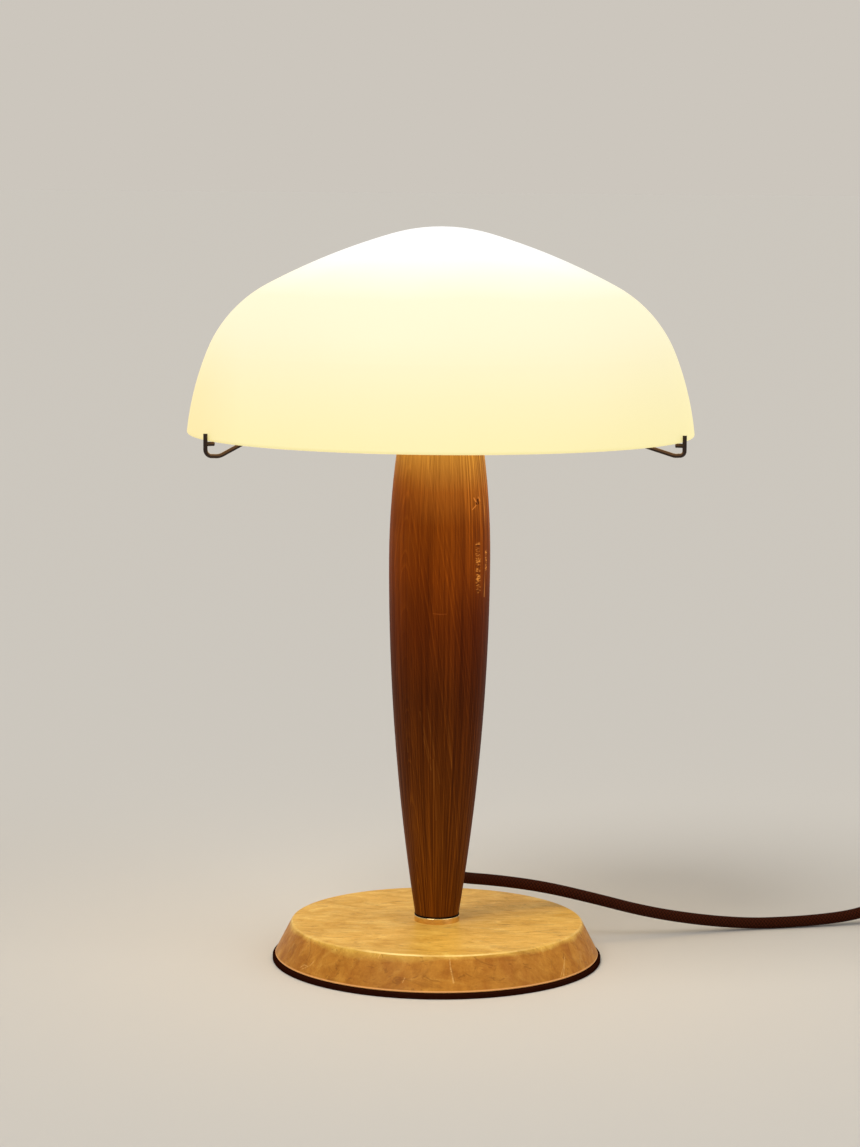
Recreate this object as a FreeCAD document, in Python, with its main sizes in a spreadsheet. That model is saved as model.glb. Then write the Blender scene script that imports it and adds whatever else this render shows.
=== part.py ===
import FreeCAD
import Part
import Sketcher
import math
import os
import re

from FreeCAD import Placement, Rotation, Vector

# Mushroom table lamp. Millimetres and degrees, +Z up, -Y towards the viewer.
# The origin is the centre of the foot on the table.

# Driving sizes
SIZES = {
    # foot pad and stone base
    "pad_radius": 99.0,
    "pad_thickness": 3.0,
    "pad_edge": 0.8,
    "stone_bottom_radius": 97.8,
    "stone_top_radius": 87.5,
    "stone_thickness": 20.0,
    "stone_round": 1.6,
    "stone_foot_round": 0.7,
    "recess_radius": 15.0,
    "recess_depth": 9.0,
    # fixings that hold the stem to the base
    "bolt_radius": 4.0,
    "bolt_length": 30.0,
    "bolt_flats": 13.0,
    "bolt_head": 5.3,
    "bolt_bevel": 0.6,
    "washer_radius": 12.0,
    "washer_thickness": 1.6,
    "loose_fit": 0.5,
    "close_fit": 0.05,
    "snug_fit": 0.02,
    "insert_radius": 6.0,
    "insert_length": 14.0,
    "insert_groove": 0.7,
    "insert_waist": 2.0,
    "insert_gap": 0.2,
    # metal collar and black gasket under the wood
    "collar_radius": 13.65,
    "collar_height": 3.6,
    "collar_edge": 0.5,
    "gasket_radius": 13.5,
    "gasket_thickness": 0.8,
    # turned wooden stem
    "belly_radius": 30.15,
    "belly_height": 215.1,
    "stem_lower_curve": 1370.0,
    "stem_upper_curve": 485.0,
    "stem_length": 282.6,
    "stem_top_round": 2.5,
    # cord exit in the back of the stem
    "cord_radius": 3.5,
    "exit_height": 24.2,
    "exit_azimuth": 50.0,
    "exit_slope": 16.0,
    "bushing_wall": 1.1,
    "bushing_flange": 1.3,
    "bushing_lip": 1.3,
    "bushing_setback": 1.6,
    "cord_fit": 0.1,
    "cord_hold": 10.3,
    "exit_lead": 6.0,
    # threaded tube, plate, hub and nut on top of the stem
    "tube_radius": 5.0,
    "tube_bore": 3.6,
    "tube_grip": 24.0,
    "tube_stand": 0.8,
    "plate_radius": 20.0,
    "plate_thickness": 1.5,
    "hub_radius": 11.0,
    "hub_height": 9.0,
    "hub_edge": 1.0,
    "nut_flats": 15.0,
    "nut_height": 3.0,
    # wire arms that carry the shade
    "wire_radius": 1.25,
    "arm_height": 6.0,
    "arm_socket": 5.0,
    "arm_bend": 24.0,
    "dip_bend": 8.0,
    "dip_rise": 0.5,
    "left_azimuth": 208.0,
    "left_knee": 27.7,
    "left_dip": 8.9,
    "left_dip_inset": 8.7,
    "right_azimuth": 337.3,
    "right_knee": 33.7,
    "right_dip": 7.6,
    "right_dip_inset": 5.9,
    "rear_azimuth": 92.5,
    "rear_knee": 30.0,
    "rear_dip": 8.3,
    "rear_dip_inset": 7.6,
    "hook_rise": 4.5,
    "hook_gap": 0.45,
    "peg_drop": 1.65,
    "peg_length": 5.3,
    # opal glass shade, drawn as four arcs that run into each other
    "shade_radius": 150.0,
    "crown_curve": 104.72,
    "crown_slope": 16.37,
    "roof_slope": 28.13,
    "shoulder_curve": 77.51,
    "shoulder_slope": 68.16,
    "skirt_curve": 176.42,
    "skirt_slope": 84.31,
    "shade_wall": 3.5,
    "rim_round": 1.5,
    "rest_gap": 0.2,
    # lampholder
    "holder_radius": 13.5,
    "holder_wall": 1.6,
    "holder_floor": 2.5,
    "cap_height": 12.0,
    "cap_round": 3.0,
    "ledge_height": 6.5,
    "ledge_width": 1.5,
    "skirt_height": 18.5,
    "skirt_lip": 2.5,
    "skirt_bevel": 2.0,
    "skirt_hollow": 2.0,
    "shell_height": 17.0,
    "shell_wall": 0.4,
    "shell_eye": 4.2,
    "contact_height": 2.8,
    "contact_width": 4.0,
    "contact_inset": 1.0,
    "contact_bend": 1.2,
    "contact_lean": 0.4,
    "strip_thickness": 0.5,
    "lead_radius": 1.1,
    "lead_offset": 1.6,
    "lead_turn": 2.8,
    "lead_bend": 1.6,
    "lead_gap": 0.4,
    "lead_fit": 0.2,
    "lead_grip": 3.0,
    "terminal_offset": 6.5,
    "terminal_screw_radius": 1.5,
    # golf ball bulb with a small screw cap
    "bulb_cap_radius": 6.95,
    "bulb_cap_wall": 0.35,
    "bulb_cap_bottom": 4.0,
    "bulb_cap_top": 18.5,
    "bulb_tip_radius": 2.3,
    "bulb_tip_height": 1.4,
    "tip_margin": 0.4,
    "insulator_rim": 1.5,
    "spigot_depth": 4.5,
    "bulb_neck_radius": 7.9,
    "bulb_flare_curve": 34.0,
    "bulb_globe_radius": 22.5,
    "bulb_length": 74.0,
    "bulb_seam": 41.5,
    "housing_wall": 1.3,
    "housing_band": 3.0,
    "board_ledge": 1.6,
    "board_thickness": 1.0,
    "board_seat": 0.3,
    "diffuser_wall": 1.0,
    "screw_fit": 0.1,
    "contact_gap": 0.2,
    # rocker switch on the cord
    "switch_x": 313.0,
    "switch_y": 96.0,
    "switch_length": 62.0,
    "switch_width": 27.0,
    "switch_half": 9.0,
    "switch_round": 8.0,
    "switch_wall": 1.6,
    "switch_edge": 1.2,
    "cord_grip": 8.0,
    "window_length": 22.0,
    "window_width": 12.0,
    "rocker_length": 20.0,
    "rocker_width": 11.0,
    "rocker_middle": 4.0,
    "rocker_end": 5.4,
    "rocker_shoulder": 1.0,
    "rocker_tip_round": 0.6,
    "rocker_belly": 2.2,
    "rocker_tilt": 8.0,
    "pivot_height": 5.0,
    "pivot_radius": 1.0,
    "lug_length": 5.0,
    "lug_thickness": 1.6,
    "lug_gap": 0.5,
    "lug_drop": 2.4,
    "bridge_length": 14.0,
    "bridge_width": 4.0,
    "post_side": 3.0,
    "post_spacing": 6.4,
    "post_gap": 0.3,
    "boss_radius": 2.3,
    "screw_radius": 1.2,
    "clamp_x": 25.5,
    "clamp_y": 5.8,
    "clamp_length": 5.0,
    "clamp_width": 16.0,
    "clamp_thickness": 2.0,
    "clamp_gap": 0.1,
    "clamp_screw_length": 8.0,
    "pilot_spare": 1.0,
    "case_screw_x": 16.0,
    "case_screw_y": 9.0,
    "case_screw_length": 11.0,
    "screw_head_radius": 2.1,
    "screw_head_height": 1.5,
    "head_sink": 0.5,
    "link_lead": 5.0,
    "link_slope": 9.0,
    "link_side": 6.2,
    "link_level": 4.4,
    "live_run": 5.0,
    "switch_lead": 14.0,
    # plug with two round pins
    "plug_y": -112.0,
    "plug_width": 35.3,
    "plug_thickness": 13.7,
    "plug_corner": 6.0,
    "plug_front": 9.0,
    "plug_taper": 25.0,
    "plug_rear_width": 15.0,
    "plug_rear_thickness": 12.6,
    "plug_rear_corner": 6.0,
    "plug_face_round": 1.0,
    "pin_radius": 2.0,
    "pin_neck": 1.4,
    "pin_reach": 19.0,
    "pin_root": 10.0,
    "pin_spacing": 18.6,
    "sleeve_radius": 1.8,
    "sleeve_reach": 10.0,
    "relief_length": 27.0,
    "relief_socket": 6.0,
    "relief_root": 5.7,
    "relief_tip": 4.4,
    "relief_groove": 0.5,
    "relief_pitch": 4.5,
    "relief_rib": 1.0,
    "relief_lead": 3.0,
    # coil of spare cord
    "coil_x": 338.0,
    "coil_y": -2.0,
    "coil_radius": 50.0,
    "coil_pitch": 7.5,
}

# Places worked out from the driving sizes
PLACES = {
    "stone_top": "pad_thickness + stone_thickness",
    "recess_top": "pad_thickness + recess_depth",
    "bolt_seat": "recess_top - washer_thickness",
    "bolt_hole": "bolt_radius + loose_fit",
    "gasket_bottom": "stone_top + collar_height",
    "stem_bottom": "gasket_bottom + gasket_thickness",
    "stem_foot_radius": "belly_radius - stem_lower_curve + sqrt(stem_lower_curve^2 - belly_height^2)",
    "stem_top_radius":
        "belly_radius - stem_upper_curve + sqrt(stem_upper_curve^2 - (stem_length - belly_height)^2)",
    "stem_bore": "tube_radius + close_fit",
    "exit_radius":
        "belly_radius - stem_lower_curve + sqrt(stem_lower_curve^2 - (belly_height - exit_height)^2)",
    "bushing_bore": "cord_radius + cord_fit",
    "bushing_radius": "bushing_bore + bushing_wall",
    "lip_radius": "bushing_radius + bushing_lip",
    "exit_face": "exit_radius / cos(exit_slope)",
    "bushing_start": "stem_bore + bushing_setback",
    "cord_start": "exit_face - cord_hold",
    "exit_level": "stem_bottom + exit_height",
    "plate_bottom": "stem_bottom + stem_length",
    "hub_bottom": "plate_bottom + plate_thickness",
    "arm_level": "hub_bottom + arm_height",
    "nut_bottom": "hub_bottom + hub_height",
    "holder_bottom": "nut_bottom + nut_height",
    "tube_bottom": "plate_bottom - tube_grip",
    "tube_top": "holder_bottom + holder_floor + tube_stand",
    "insert_bottom": "holder_bottom + ledge_height",
    "insert_top": "holder_bottom + cap_height",
    "insert_disc_radius": "holder_radius - holder_wall - screw_fit",
    "shell_bore": "bulb_cap_radius + screw_fit",
    "shell_radius": "shell_bore + shell_wall",
    "bulb_bottom": "insert_top + contact_height + contact_gap",
    "bulb_cap_bore": "bulb_cap_radius - bulb_cap_wall",
    "spigot_radius": "bulb_cap_bore - close_fit",
    "globe_middle": "bulb_length - bulb_globe_radius",
    "seam_radius": "sqrt(bulb_globe_radius^2 - (globe_middle - bulb_seam)^2)",
    "seam_bore": "sqrt((bulb_globe_radius - diffuser_wall)^2 - (globe_middle - bulb_seam)^2)",
    "board_radius": "seam_bore + board_seat",
    "crown_out": "crown_curve * sin(crown_slope)",
    "shoulder_out": "shade_radius - skirt_curve * (sin(skirt_slope) - sin(shoulder_slope))",
    "roof_out": "shoulder_out - shoulder_curve * (sin(shoulder_slope) - sin(roof_slope))",
    "roof_curve": "(roof_out - crown_out) / (sin(roof_slope) - sin(crown_slope))",
    "shoulder_up": "skirt_curve * (cos(shoulder_slope) - cos(skirt_slope))",
    "roof_up": "shoulder_up + shoulder_curve * (cos(roof_slope) - cos(shoulder_slope))",
    "crown_up": "roof_up + roof_curve * (cos(crown_slope) - cos(roof_slope))",
    "shade_height": "crown_up + crown_curve * (1 - cos(crown_slope))",
    "rim_bore":
        "shade_radius - skirt_curve * sin(skirt_slope)"
        " + sqrt((skirt_curve - shade_wall)^2 - (skirt_curve * cos(skirt_slope))^2)",
    "rim_level": "arm_level - peg_drop + wire_radius + rest_gap",
    "hook_radius": "shade_radius + hook_gap + wire_radius",
    "pivot_bore": "pivot_radius + close_fit",
    "case_length": "switch_length - 2 * switch_wall",
    "case_width": "switch_width - 2 * switch_wall",
    "case_round": "switch_round - switch_wall",
    "case_top": "switch_half - switch_wall",
    "post_top": "switch_half + pivot_height - (rocker_belly + strip_thickness) * cos(rocker_tilt)",
    "clamp_bottom": "switch_half + cord_radius",
    "screw_seat": "screw_head_height + head_sink",
    "pivot_length": "rocker_width + 2 * (lug_gap + lug_thickness)",
    "plug_x": "coil_x + coil_radius",
    "plug_z": "plug_thickness / 2",
    "plug_length": "plug_front + plug_taper",
    "relief_root_y": "plug_y + plug_length",
    "cord_end_y": "relief_root_y + relief_length - relief_socket",
    "sleeve_bore": "pin_neck + snug_fit",
    "pin_hole": "sleeve_radius + snug_fit",
    "coil_floor": "cord_radius",
}

# The cord's free stretches, as points chosen by hand. Each starts and ends on what holds it.
LAMP_TO_SWITCH = [
    (36.8, 30.5, 40.7),
    (66.2, 39.6, 34.8),
    (97.6, 45.9, 26.2),
    (129.3, 54.8, 16.2),
    (163.0, 66.6, 8.4),
    (195.8, 77.4, 3.6),
    (222.0, 82.6, 3.5),
    (243.0, 87.6, 4.1),
    (262.0, 92.8, 5.6),
]
SWITCH_TO_COIL = [
    (353.0, 96.0, 9.0),
    (368.8, 89.6, 7.6),
    (380.9, 77.5, 5.2),
    (387.6, 61.6, 3.9),
    (388.0, 33.0, 3.5),
]
COIL_TO_PLUG = [
    (388.0, -23.0, 11.0),
    (388.8, -37.0, 8.6),
]

COIL_TURNS_PER_LAYER = 2.25
COIL_CLIMB_TURNS = 0.5
NO_SIDE = 1e-9
BEND_SHARE = 0.45

doc = FreeCAD.newDocument("mushroom_table_lamp")
sheet = doc.addObject("Spreadsheet::Sheet", "Sizes")
places = doc.addObject("Spreadsheet::Sheet", "Places")
nodes = []


def formula(text):
    """Write a formula of plain names with the sheet that each name is in."""

    def qualified(match):
        word = match.group()
        if word in SIZES:
            return "Sizes." + word
        if word in PLACES:
            return "Places." + word
        return word

    return re.sub(r"[a-z_]+", qualified, str(text))


def number(text):
    return float(sheet.evalExpression(formula(text)))


def fill_sheets():
    for row, (name, value) in enumerate(SIZES.items(), start=1):
        sheet.set(f"A{row}", name)
        sheet.set(f"B{row}", str(value))
        sheet.setAlias(f"B{row}", name)
    doc.recompute()
    for row, (name, text) in enumerate(PLACES.items(), start=1):
        places.set(f"A{row}", name)
        places.set(f"B{row}", "=" + formula(text))
        places.setAlias(f"B{row}", name)
        doc.recompute()


def keep(obj, name):
    """Mark a finished sub-part; its label becomes its file name."""
    obj.Label = name
    nodes.append(obj)
    return obj


def stand_at(obj, x="0", y="0", z="0"):
    for letter, text in (("x", x), ("y", y), ("z", z)):
        if text != "0":
            obj.setExpression(f"Placement.Base.{letter}", formula(text))


# Sketched pieces

def new_body(name):
    body = doc.addObject("PartDesign::Body", name + "_body")
    return keep(body, name)


def origin_plane(body, role):
    for feature in body.Origin.OriginFeatures:
        if feature.Role == role:
            return feature
    raise ValueError(role)


def new_sketch(body, name, plane="XZ_Plane", lift="0", slide="0", turn="0"):
    """An empty sketch on a plane of its body, lifted along the sketch's up direction,
    moved along its normal by slide and turned in its plane by turn."""
    sketch = body.newObject("Sketcher::SketchObject", name)
    sketch.AttachmentSupport = (origin_plane(body, plane), [""])
    sketch.MapMode = "FlatFace"
    sketch.AttachmentOffset = Placement(Vector(0, 0, 0), Rotation(Vector(0, 0, 1), number(turn)))
    if turn != "0":
        sketch.setExpression("AttachmentOffset.Rotation.Angle", formula(turn))
    if lift != "0":
        sketch.setExpression("AttachmentOffset.Base.y", formula(lift))
    if slide != "0":
        sketch.setExpression("AttachmentOffset.Base.z", formula(slide))
    return sketch


def pin_down(sketch, geometry, position, across, up):
    """Fix a point of the sketch at two formulas."""
    for kind, axis, text in (("DistanceX", -2, across), ("DistanceY", -1, up)):
        if text == "0":
            sketch.addConstraint(Sketcher.Constraint("PointOnObject", geometry, position, axis))
            continue
        constraint = Sketcher.Constraint(kind, -1, 1, geometry, position, number(text))
        index = sketch.addConstraint(constraint)
        sketch.setExpression(f"Constraints[{index}]", formula(text))


def arc_between(start, end, radius):
    """The shorter arc between two points; it turns left for a positive radius."""
    chord = end - start
    side = Vector(-chord.y, chord.x, 0).normalize()
    if radius < 0:
        side = side.negative()
    depth = math.sqrt(radius ** 2 - (chord.Length / 2) ** 2)
    centre = (start + end) * 0.5 + side * depth
    first, last = (start, end) if radius > 0 else (end, start)
    angles = [math.atan2(p.y - centre.y, p.x - centre.x) for p in (first, last)]
    if angles[1] < angles[0]:
        angles[1] += 2 * math.pi
    circle = Part.Circle(centre, Vector(0, 0, 1), abs(radius))
    return Part.ArcOfCircle(circle, angles[0], angles[1])


def outline(sketch, corners):
    """Draw a closed outline. A corner is (across, up), or (across, up, curve) where the
    edge that leaves it is an arc of that radius, turning left if positive."""
    points = [Vector(number(corner[0]), number(corner[1]), 0) for corner in corners]
    edges = []
    for index, corner in enumerate(corners):
        start = points[index]
        end = points[(index + 1) % len(points)]
        if len(corner) == 3:
            radius = number(corner[2])
            geometry = sketch.addGeometry(arc_between(start, end, radius), False)
            size = Sketcher.Constraint("Radius", geometry, abs(radius))
            constraint = sketch.addConstraint(size)
            sign = "" if radius > 0 else "-"
            sketch.setExpression(f"Constraints[{constraint}]", f"{sign}({formula(corner[2])})")
            edges.append((geometry, 1, 2) if radius > 0 else (geometry, 2, 1))
        else:
            geometry = sketch.addGeometry(Part.LineSegment(start, end), False)
            edges.append((geometry, 1, 2))
    for index, corner in enumerate(corners):
        geometry, first, _ = edges[index]
        before, _, last = edges[index - 1]
        sketch.addConstraint(Sketcher.Constraint("Coincident", before, last, geometry, first))
        pin_down(sketch, geometry, first, corner[0], corner[1])


def circle(sketch, across, up, radius):
    middle = Vector(number(across), number(up), 0)
    shape = Part.Circle(middle, Vector(0, 0, 1), number(radius))
    geometry = sketch.addGeometry(shape, False)
    index = sketch.addConstraint(Sketcher.Constraint("Radius", geometry, number(radius)))
    sketch.setExpression(f"Constraints[{index}]", formula(radius))
    pin_down(sketch, geometry, 3, across, up)


def rounded_rectangle(length, width, corner):
    x = f"({length}) / 2"
    y = f"({width}) / 2"
    r = f"({corner})"
    return [
        (f"{x} - {r}", f"-{y}", r),
        (x, f"{r} - {y}"),
        (x, f"{y} - {r}", r),
        (f"{x} - {r}", y),
        (f"{r} - {x}", y, r),
        (f"-{x}", f"{y} - {r}"),
        (f"-{x}", f"{r} - {y}", r),
        (f"{r} - {x}", f"-{y}"),
    ]


def rectangle(length, width, x="0", y="0"):
    return [
        (f"{x} - ({length}) / 2", f"{y} - ({width}) / 2"),
        (f"{x} + ({length}) / 2", f"{y} - ({width}) / 2"),
        (f"{x} + ({length}) / 2", f"{y} + ({width}) / 2"),
        (f"{x} - ({length}) / 2", f"{y} + ({width}) / 2"),
    ]


def hexagon(flats):
    half = f"{flats} / 2"
    point = f"{flats} / 2 / cos(30)"
    lean = f"{flats} / 2 * tan(30)"
    return [
        (point, "0"),
        (lean, half),
        (f"-{lean}", half),
        (f"-{point}", "0"),
        (f"-{lean}", f"-{half}"),
        (lean, f"-{half}"),
    ]


def ring(inner, outer, height):
    return [(inner, "0"), (outer, "0"), (outer, height), (inner, height)]


def measured(body, feature, grows):
    """Recompute, and stop if a feature didn't add or take away material."""
    base = feature.BaseFeature
    before = base.Shape.Volume if base else 0.0
    doc.recompute()
    change = feature.Shape.Volume - before
    if change * (1 if grows else -1) < 1e-3:
        raise RuntimeError(f"{feature.Label} changed {body.Label} by {change:.4f}")
    return feature


def turned(name, corners):
    """A body turned about its upright axis from a half section."""
    body = new_body(name)
    sketch = new_sketch(body, name + "_section")
    outline(sketch, corners)
    feature = body.newObject("PartDesign::Revolution", name + "_turning")
    feature.Profile = (sketch, [""])
    feature.ReferenceAxis = (sketch, ["V_Axis"])
    feature.Angle = 360
    measured(body, feature, True)
    return body


def padded(body, name, corners, length, plane="XY_Plane", slide="0", midplane=False, down=False):
    sketch = new_sketch(body, name + "_sketch", plane, slide=slide)
    outline(sketch, corners)
    return pad_sketch(body, name, sketch, length, midplane, down)


def pad_sketch(body, name, sketch, length, midplane=False, down=False):
    feature = body.newObject("PartDesign::Pad", name)
    feature.Profile = (sketch, [""])
    feature.Midplane = midplane
    feature.Reversed = down
    feature.Length = number(length)
    feature.setExpression("Length", formula(length))
    return measured(body, feature, True)


def pocket_sketch(body, name, sketch, depth, midplane=False, up=False):
    """Cut along a sketch's normal backwards, or forwards where up is true."""
    feature = body.newObject("PartDesign::Pocket", name)
    feature.Profile = (sketch, [""])
    feature.Midplane = midplane
    feature.Reversed = up
    feature.Length = number(depth)
    feature.setExpression("Length", formula(depth))
    return measured(body, feature, False)


def drilled(body, name, holes, radius, depth, plane="XY_Plane", slide="0", midplane=False, up=True):
    sketch = new_sketch(body, name + "_sketch", plane, slide=slide)
    for across, up_text in holes:
        circle(sketch, across, up_text, radius)
    return pocket_sketch(body, name, sketch, depth, midplane, up)


def edges_where(feature, test):
    """Names of the edges all of whose sample points pass a test."""
    names = []
    for index, edge in enumerate(feature.Shape.Edges, start=1):
        first, last = edge.ParameterRange
        samples = [edge.valueAt(first + (last - first) * share) for share in (0, 0.3, 0.6, 1)]
        if all(test(point) for point in samples):
            names.append(f"Edge{index}")
    if not names:
        raise RuntimeError(f"no edge found on {feature.Label}")
    return names


def rounded(body, name, test, radius, kind="Fillet"):
    base = body.Tip
    feature = body.newObject("PartDesign::" + kind, name)
    feature.Base = (base, edges_where(base, test))
    size = "Radius" if kind == "Fillet" else "Size"
    setattr(feature, size, number(radius))
    feature.setExpression(size, formula(radius))
    doc.recompute()
    return feature


def near(value, target):
    return abs(value - target) < 0.01


def on_circle(radius, height):
    def test(point):
        return near(math.hypot(point.x, point.y), number(radius)) and near(point.z, number(height))

    return test


# Wires and cords

def route_wire(points, bends=None):
    """Straight runs through the points, joined by arcs that touch both runs.

    Without given bends, an arc is as large as its two runs allow."""
    points = [Vector(*point) for point in points]
    edges = []
    radii = []
    start = points[0]
    for index in range(1, len(points) - 1):
        before = points[index] - points[index - 1]
        after = points[index + 1] - points[index]
        half_turn = before.getAngle(after) / 2
        shorter = min(before.Length, after.Length)
        radius = BEND_SHARE * shorter / math.tan(half_turn)
        if bends:
            radius = bends[index - 1]
        reach = radius * math.tan(half_turn)
        before.normalize()
        after.normalize()
        entry = points[index] - before * reach
        leave = points[index] + after * reach
        inward = (after - before).normalize()
        centre = points[index] + inward * (radius / math.cos(half_turn))
        middle = centre - inward * radius
        edges.append(Part.LineSegment(start, entry).toShape())
        edges.append(Part.Arc(entry, middle, leave).toShape())
        radii.append(radius)
        start = leave
    edges.append(Part.LineSegment(start, points[-1]).toShape())
    return Part.Wire(edges), radii


def tube_along(wire, radius):
    edge = wire.OrderedEdges[0]
    start = edge.valueAt(edge.FirstParameter)
    heading = edge.tangentAt(edge.FirstParameter)
    section = Part.Wire(Part.Circle(start, heading, radius).toShape())
    tube = wire.makePipeShell([section], True, False)
    if tube.Volume < 0:
        tube.reverse()
    expected = math.pi * radius ** 2 * wire.Length
    if abs(tube.Volume / expected - 1) > 0.01:
        raise RuntimeError(f"tube volume {tube.Volume:.1f}, expected {expected:.1f}")
    return tube


def solid_piece(name, shape, placement=None):
    """A sub-part whose shape is worked out in code from the sheet's sizes."""
    feature = doc.addObject("Part::Feature", name)
    feature.Shape = shape
    if placement:
        feature.Placement = placement
    return keep(feature, name)


def cord_stretch(name, points):
    wire, radii = route_wire(points)
    solid_piece(name, tube_along(wire, number("cord_radius")))
    listed = " ".join(f"{radius:.0f}" for radius in radii)
    print(f"{name}: length {wire.Length:.1f}, arc radii {listed}")
    return wire.Length


# Foot and base

def make_foot_pad():
    body = turned("foot_pad", ring("0", "pad_radius", "pad_thickness"))
    rounded(body, "pad_bevel", on_circle("pad_radius", "pad_thickness"), "pad_edge", "Chamfer")


def make_stone_base():
    corners = [
        ("0", "0"),
        ("stone_bottom_radius", "0"),
        ("stone_top_radius", "stone_thickness"),
        ("0", "stone_thickness"),
    ]
    body = turned("stone_base", corners)
    drilled(body, "bolt_recess", [("0", "0")], "recess_radius", "recess_depth")
    drilled(body, "bolt_way", [("0", "0")], "bolt_hole", "stone_thickness")
    upper = on_circle("stone_top_radius", "stone_thickness")
    rounded(body, "stone_upper_edge", upper, "stone_round")
    lower = on_circle("stone_bottom_radius", "0")
    rounded(body, "stone_lower_edge", lower, "stone_foot_round")
    stand_at(body, z="pad_thickness")


def make_base_fixings():
    washer = turned("base_washer", ring("bolt_hole", "washer_radius", "washer_thickness"))
    stand_at(washer, z="bolt_seat")

    bolt = new_body("base_bolt")
    padded(bolt, "bolt_head_block", hexagon("bolt_flats"), "bolt_head", down=True)
    shank = new_sketch(bolt, "bolt_shank_sketch", "XY_Plane")
    circle(shank, "0", "0", "bolt_radius")
    pad_sketch(bolt, "bolt_shank", shank, "bolt_length")
    tip = on_circle("bolt_radius", "bolt_length")
    rounded(bolt, "bolt_tip", tip, "bolt_bevel", "Chamfer")
    stand_at(bolt, z="bolt_seat")

    waist = "insert_radius - insert_groove"
    waist_low = "(insert_length - insert_waist) / 2"
    waist_high = "(insert_length + insert_waist) / 2"
    insert = turned("threaded_insert", [
        ("bolt_radius + close_fit", "0"),
        ("insert_radius", "0"),
        ("insert_radius", waist_low),
        (waist, waist_low),
        (waist, waist_high),
        ("insert_radius", waist_high),
        ("insert_radius", "insert_length"),
        ("bolt_radius + close_fit", "insert_length"),
    ])
    stand_at(insert, z="stem_bottom")


def make_collar():
    collar = turned("collar_ring", ring("bolt_hole", "collar_radius", "collar_height"))
    upper = on_circle("collar_radius", "collar_height")
    rounded(collar, "collar_bevel", upper, "collar_edge")
    stand_at(collar, z="stone_top")
    gasket = turned("collar_gasket", ring("bolt_hole", "gasket_radius", "gasket_thickness"))
    stand_at(gasket, z="gasket_bottom")


# Wooden stem and the cord's way in

def make_wooden_stem():
    hole = "insert_radius + close_fit"
    body = turned("wooden_stem", [
        (hole, "0"),
        ("stem_foot_radius", "0", "stem_lower_curve"),
        ("belly_radius", "belly_height", "stem_upper_curve"),
        ("stem_top_radius", "stem_length"),
        ("stem_bore", "stem_length"),
        ("stem_bore", "insert_length + insert_gap"),
        (hole, "insert_length + insert_gap"),
    ])
    top = on_circle("stem_top_radius", "stem_length")
    rounded(body, "stem_top_edge", top, "stem_top_round")
    sketch = new_sketch(body, "cord_exit_sketch", lift="exit_height", turn="-exit_slope")
    far = "exit_face + lip_radius"
    seat = "exit_face - bushing_flange"
    outline(sketch, [
        ("stem_bore / 2", "0"),
        (far, "0"),
        (far, "lip_radius + close_fit"),
        (seat, "lip_radius + close_fit"),
        (seat, "bushing_radius + close_fit"),
        ("stem_bore / 2", "bushing_radius + close_fit"),
    ])
    groove = body.newObject("PartDesign::Groove", "cord_exit")
    groove.Profile = (sketch, [""])
    groove.ReferenceAxis = (sketch, ["H_Axis"])
    groove.Angle = 360
    measured(body, groove, False)
    turn_to_exit(body)


def turn_to_exit(obj):
    """Pieces round the cord's exit are drawn facing +X, then turned to its azimuth."""
    obj.Placement = Placement(Vector(0, 0, 0), Rotation(Vector(0, 0, 1), number("exit_azimuth")))
    obj.setExpression("Placement.Rotation.Angle", formula("exit_azimuth"))
    stand_at(obj, z="stem_bottom")


def make_cord_bushing():
    body = new_body("cord_bushing")
    sketch = new_sketch(body, "bushing_section", lift="exit_height", turn="-exit_slope")
    seat = "exit_face - bushing_flange"
    outline(sketch, [
        ("bushing_start", "bushing_bore"),
        ("exit_face", "bushing_bore"),
        ("exit_face", "lip_radius"),
        (seat, "lip_radius"),
        (seat, "bushing_radius"),
        ("bushing_start", "bushing_radius"),
    ])
    feature = body.newObject("PartDesign::Revolution", "bushing_turning")
    feature.Profile = (sketch, [""])
    feature.ReferenceAxis = (sketch, ["H_Axis"])
    feature.Angle = 360
    measured(body, feature, True)
    face = number("exit_face")
    slope = math.radians(number("exit_slope"))
    middle = Vector(0, 0, number("exit_height"))
    heading = Vector(math.cos(slope), 0, -math.sin(slope))

    def mouth(point):
        out = (point - middle).dot(heading)
        off = (point - middle - heading * out).Length
        return near(out, face) and near(off, number("lip_radius"))

    rounded(body, "bushing_edge", mouth, "bushing_flange / 3")
    turn_to_exit(body)


def exit_point(distance):
    """A point on the axis of the cord's exit, that far from the stem's axis."""
    slope = math.radians(number("exit_slope"))
    azimuth = math.radians(number("exit_azimuth"))
    out = distance * math.cos(slope)
    level = number("exit_level") - distance * math.sin(slope)
    return Vector(out * math.cos(azimuth), out * math.sin(azimuth), level)


def make_inner_leads():
    """Live and neutral wires from the end of the cord, up the stem, to the terminals."""
    slope = math.radians(number("exit_slope"))
    start = number("cord_start")
    radius = number("lead_radius")
    side = number("lead_offset")
    spread = number("terminal_offset")
    level = number("exit_level")
    fork = number("tube_top + lead_radius + lead_gap")
    end = number("insert_bottom + lead_grip")
    bends = [number("lead_turn"), number("lead_bend"), number("lead_bend")]
    turn = Rotation(Vector(0, 0, 1), number("exit_azimuth"))
    for name, sign in (("live_lead", 1), ("neutral_lead", -1)):
        points = [
            (start * math.cos(slope), sign * side, level - start * math.sin(slope)),
            (0, sign * side, level),
            (0, sign * side, fork),
            (0, sign * spread, fork),
            (0, sign * spread, end),
        ]
        wire, _ = route_wire(points, bends)
        solid_piece(name, tube_along(wire, radius), Placement(Vector(0, 0, 0), turn))


# Top of the stem

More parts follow.
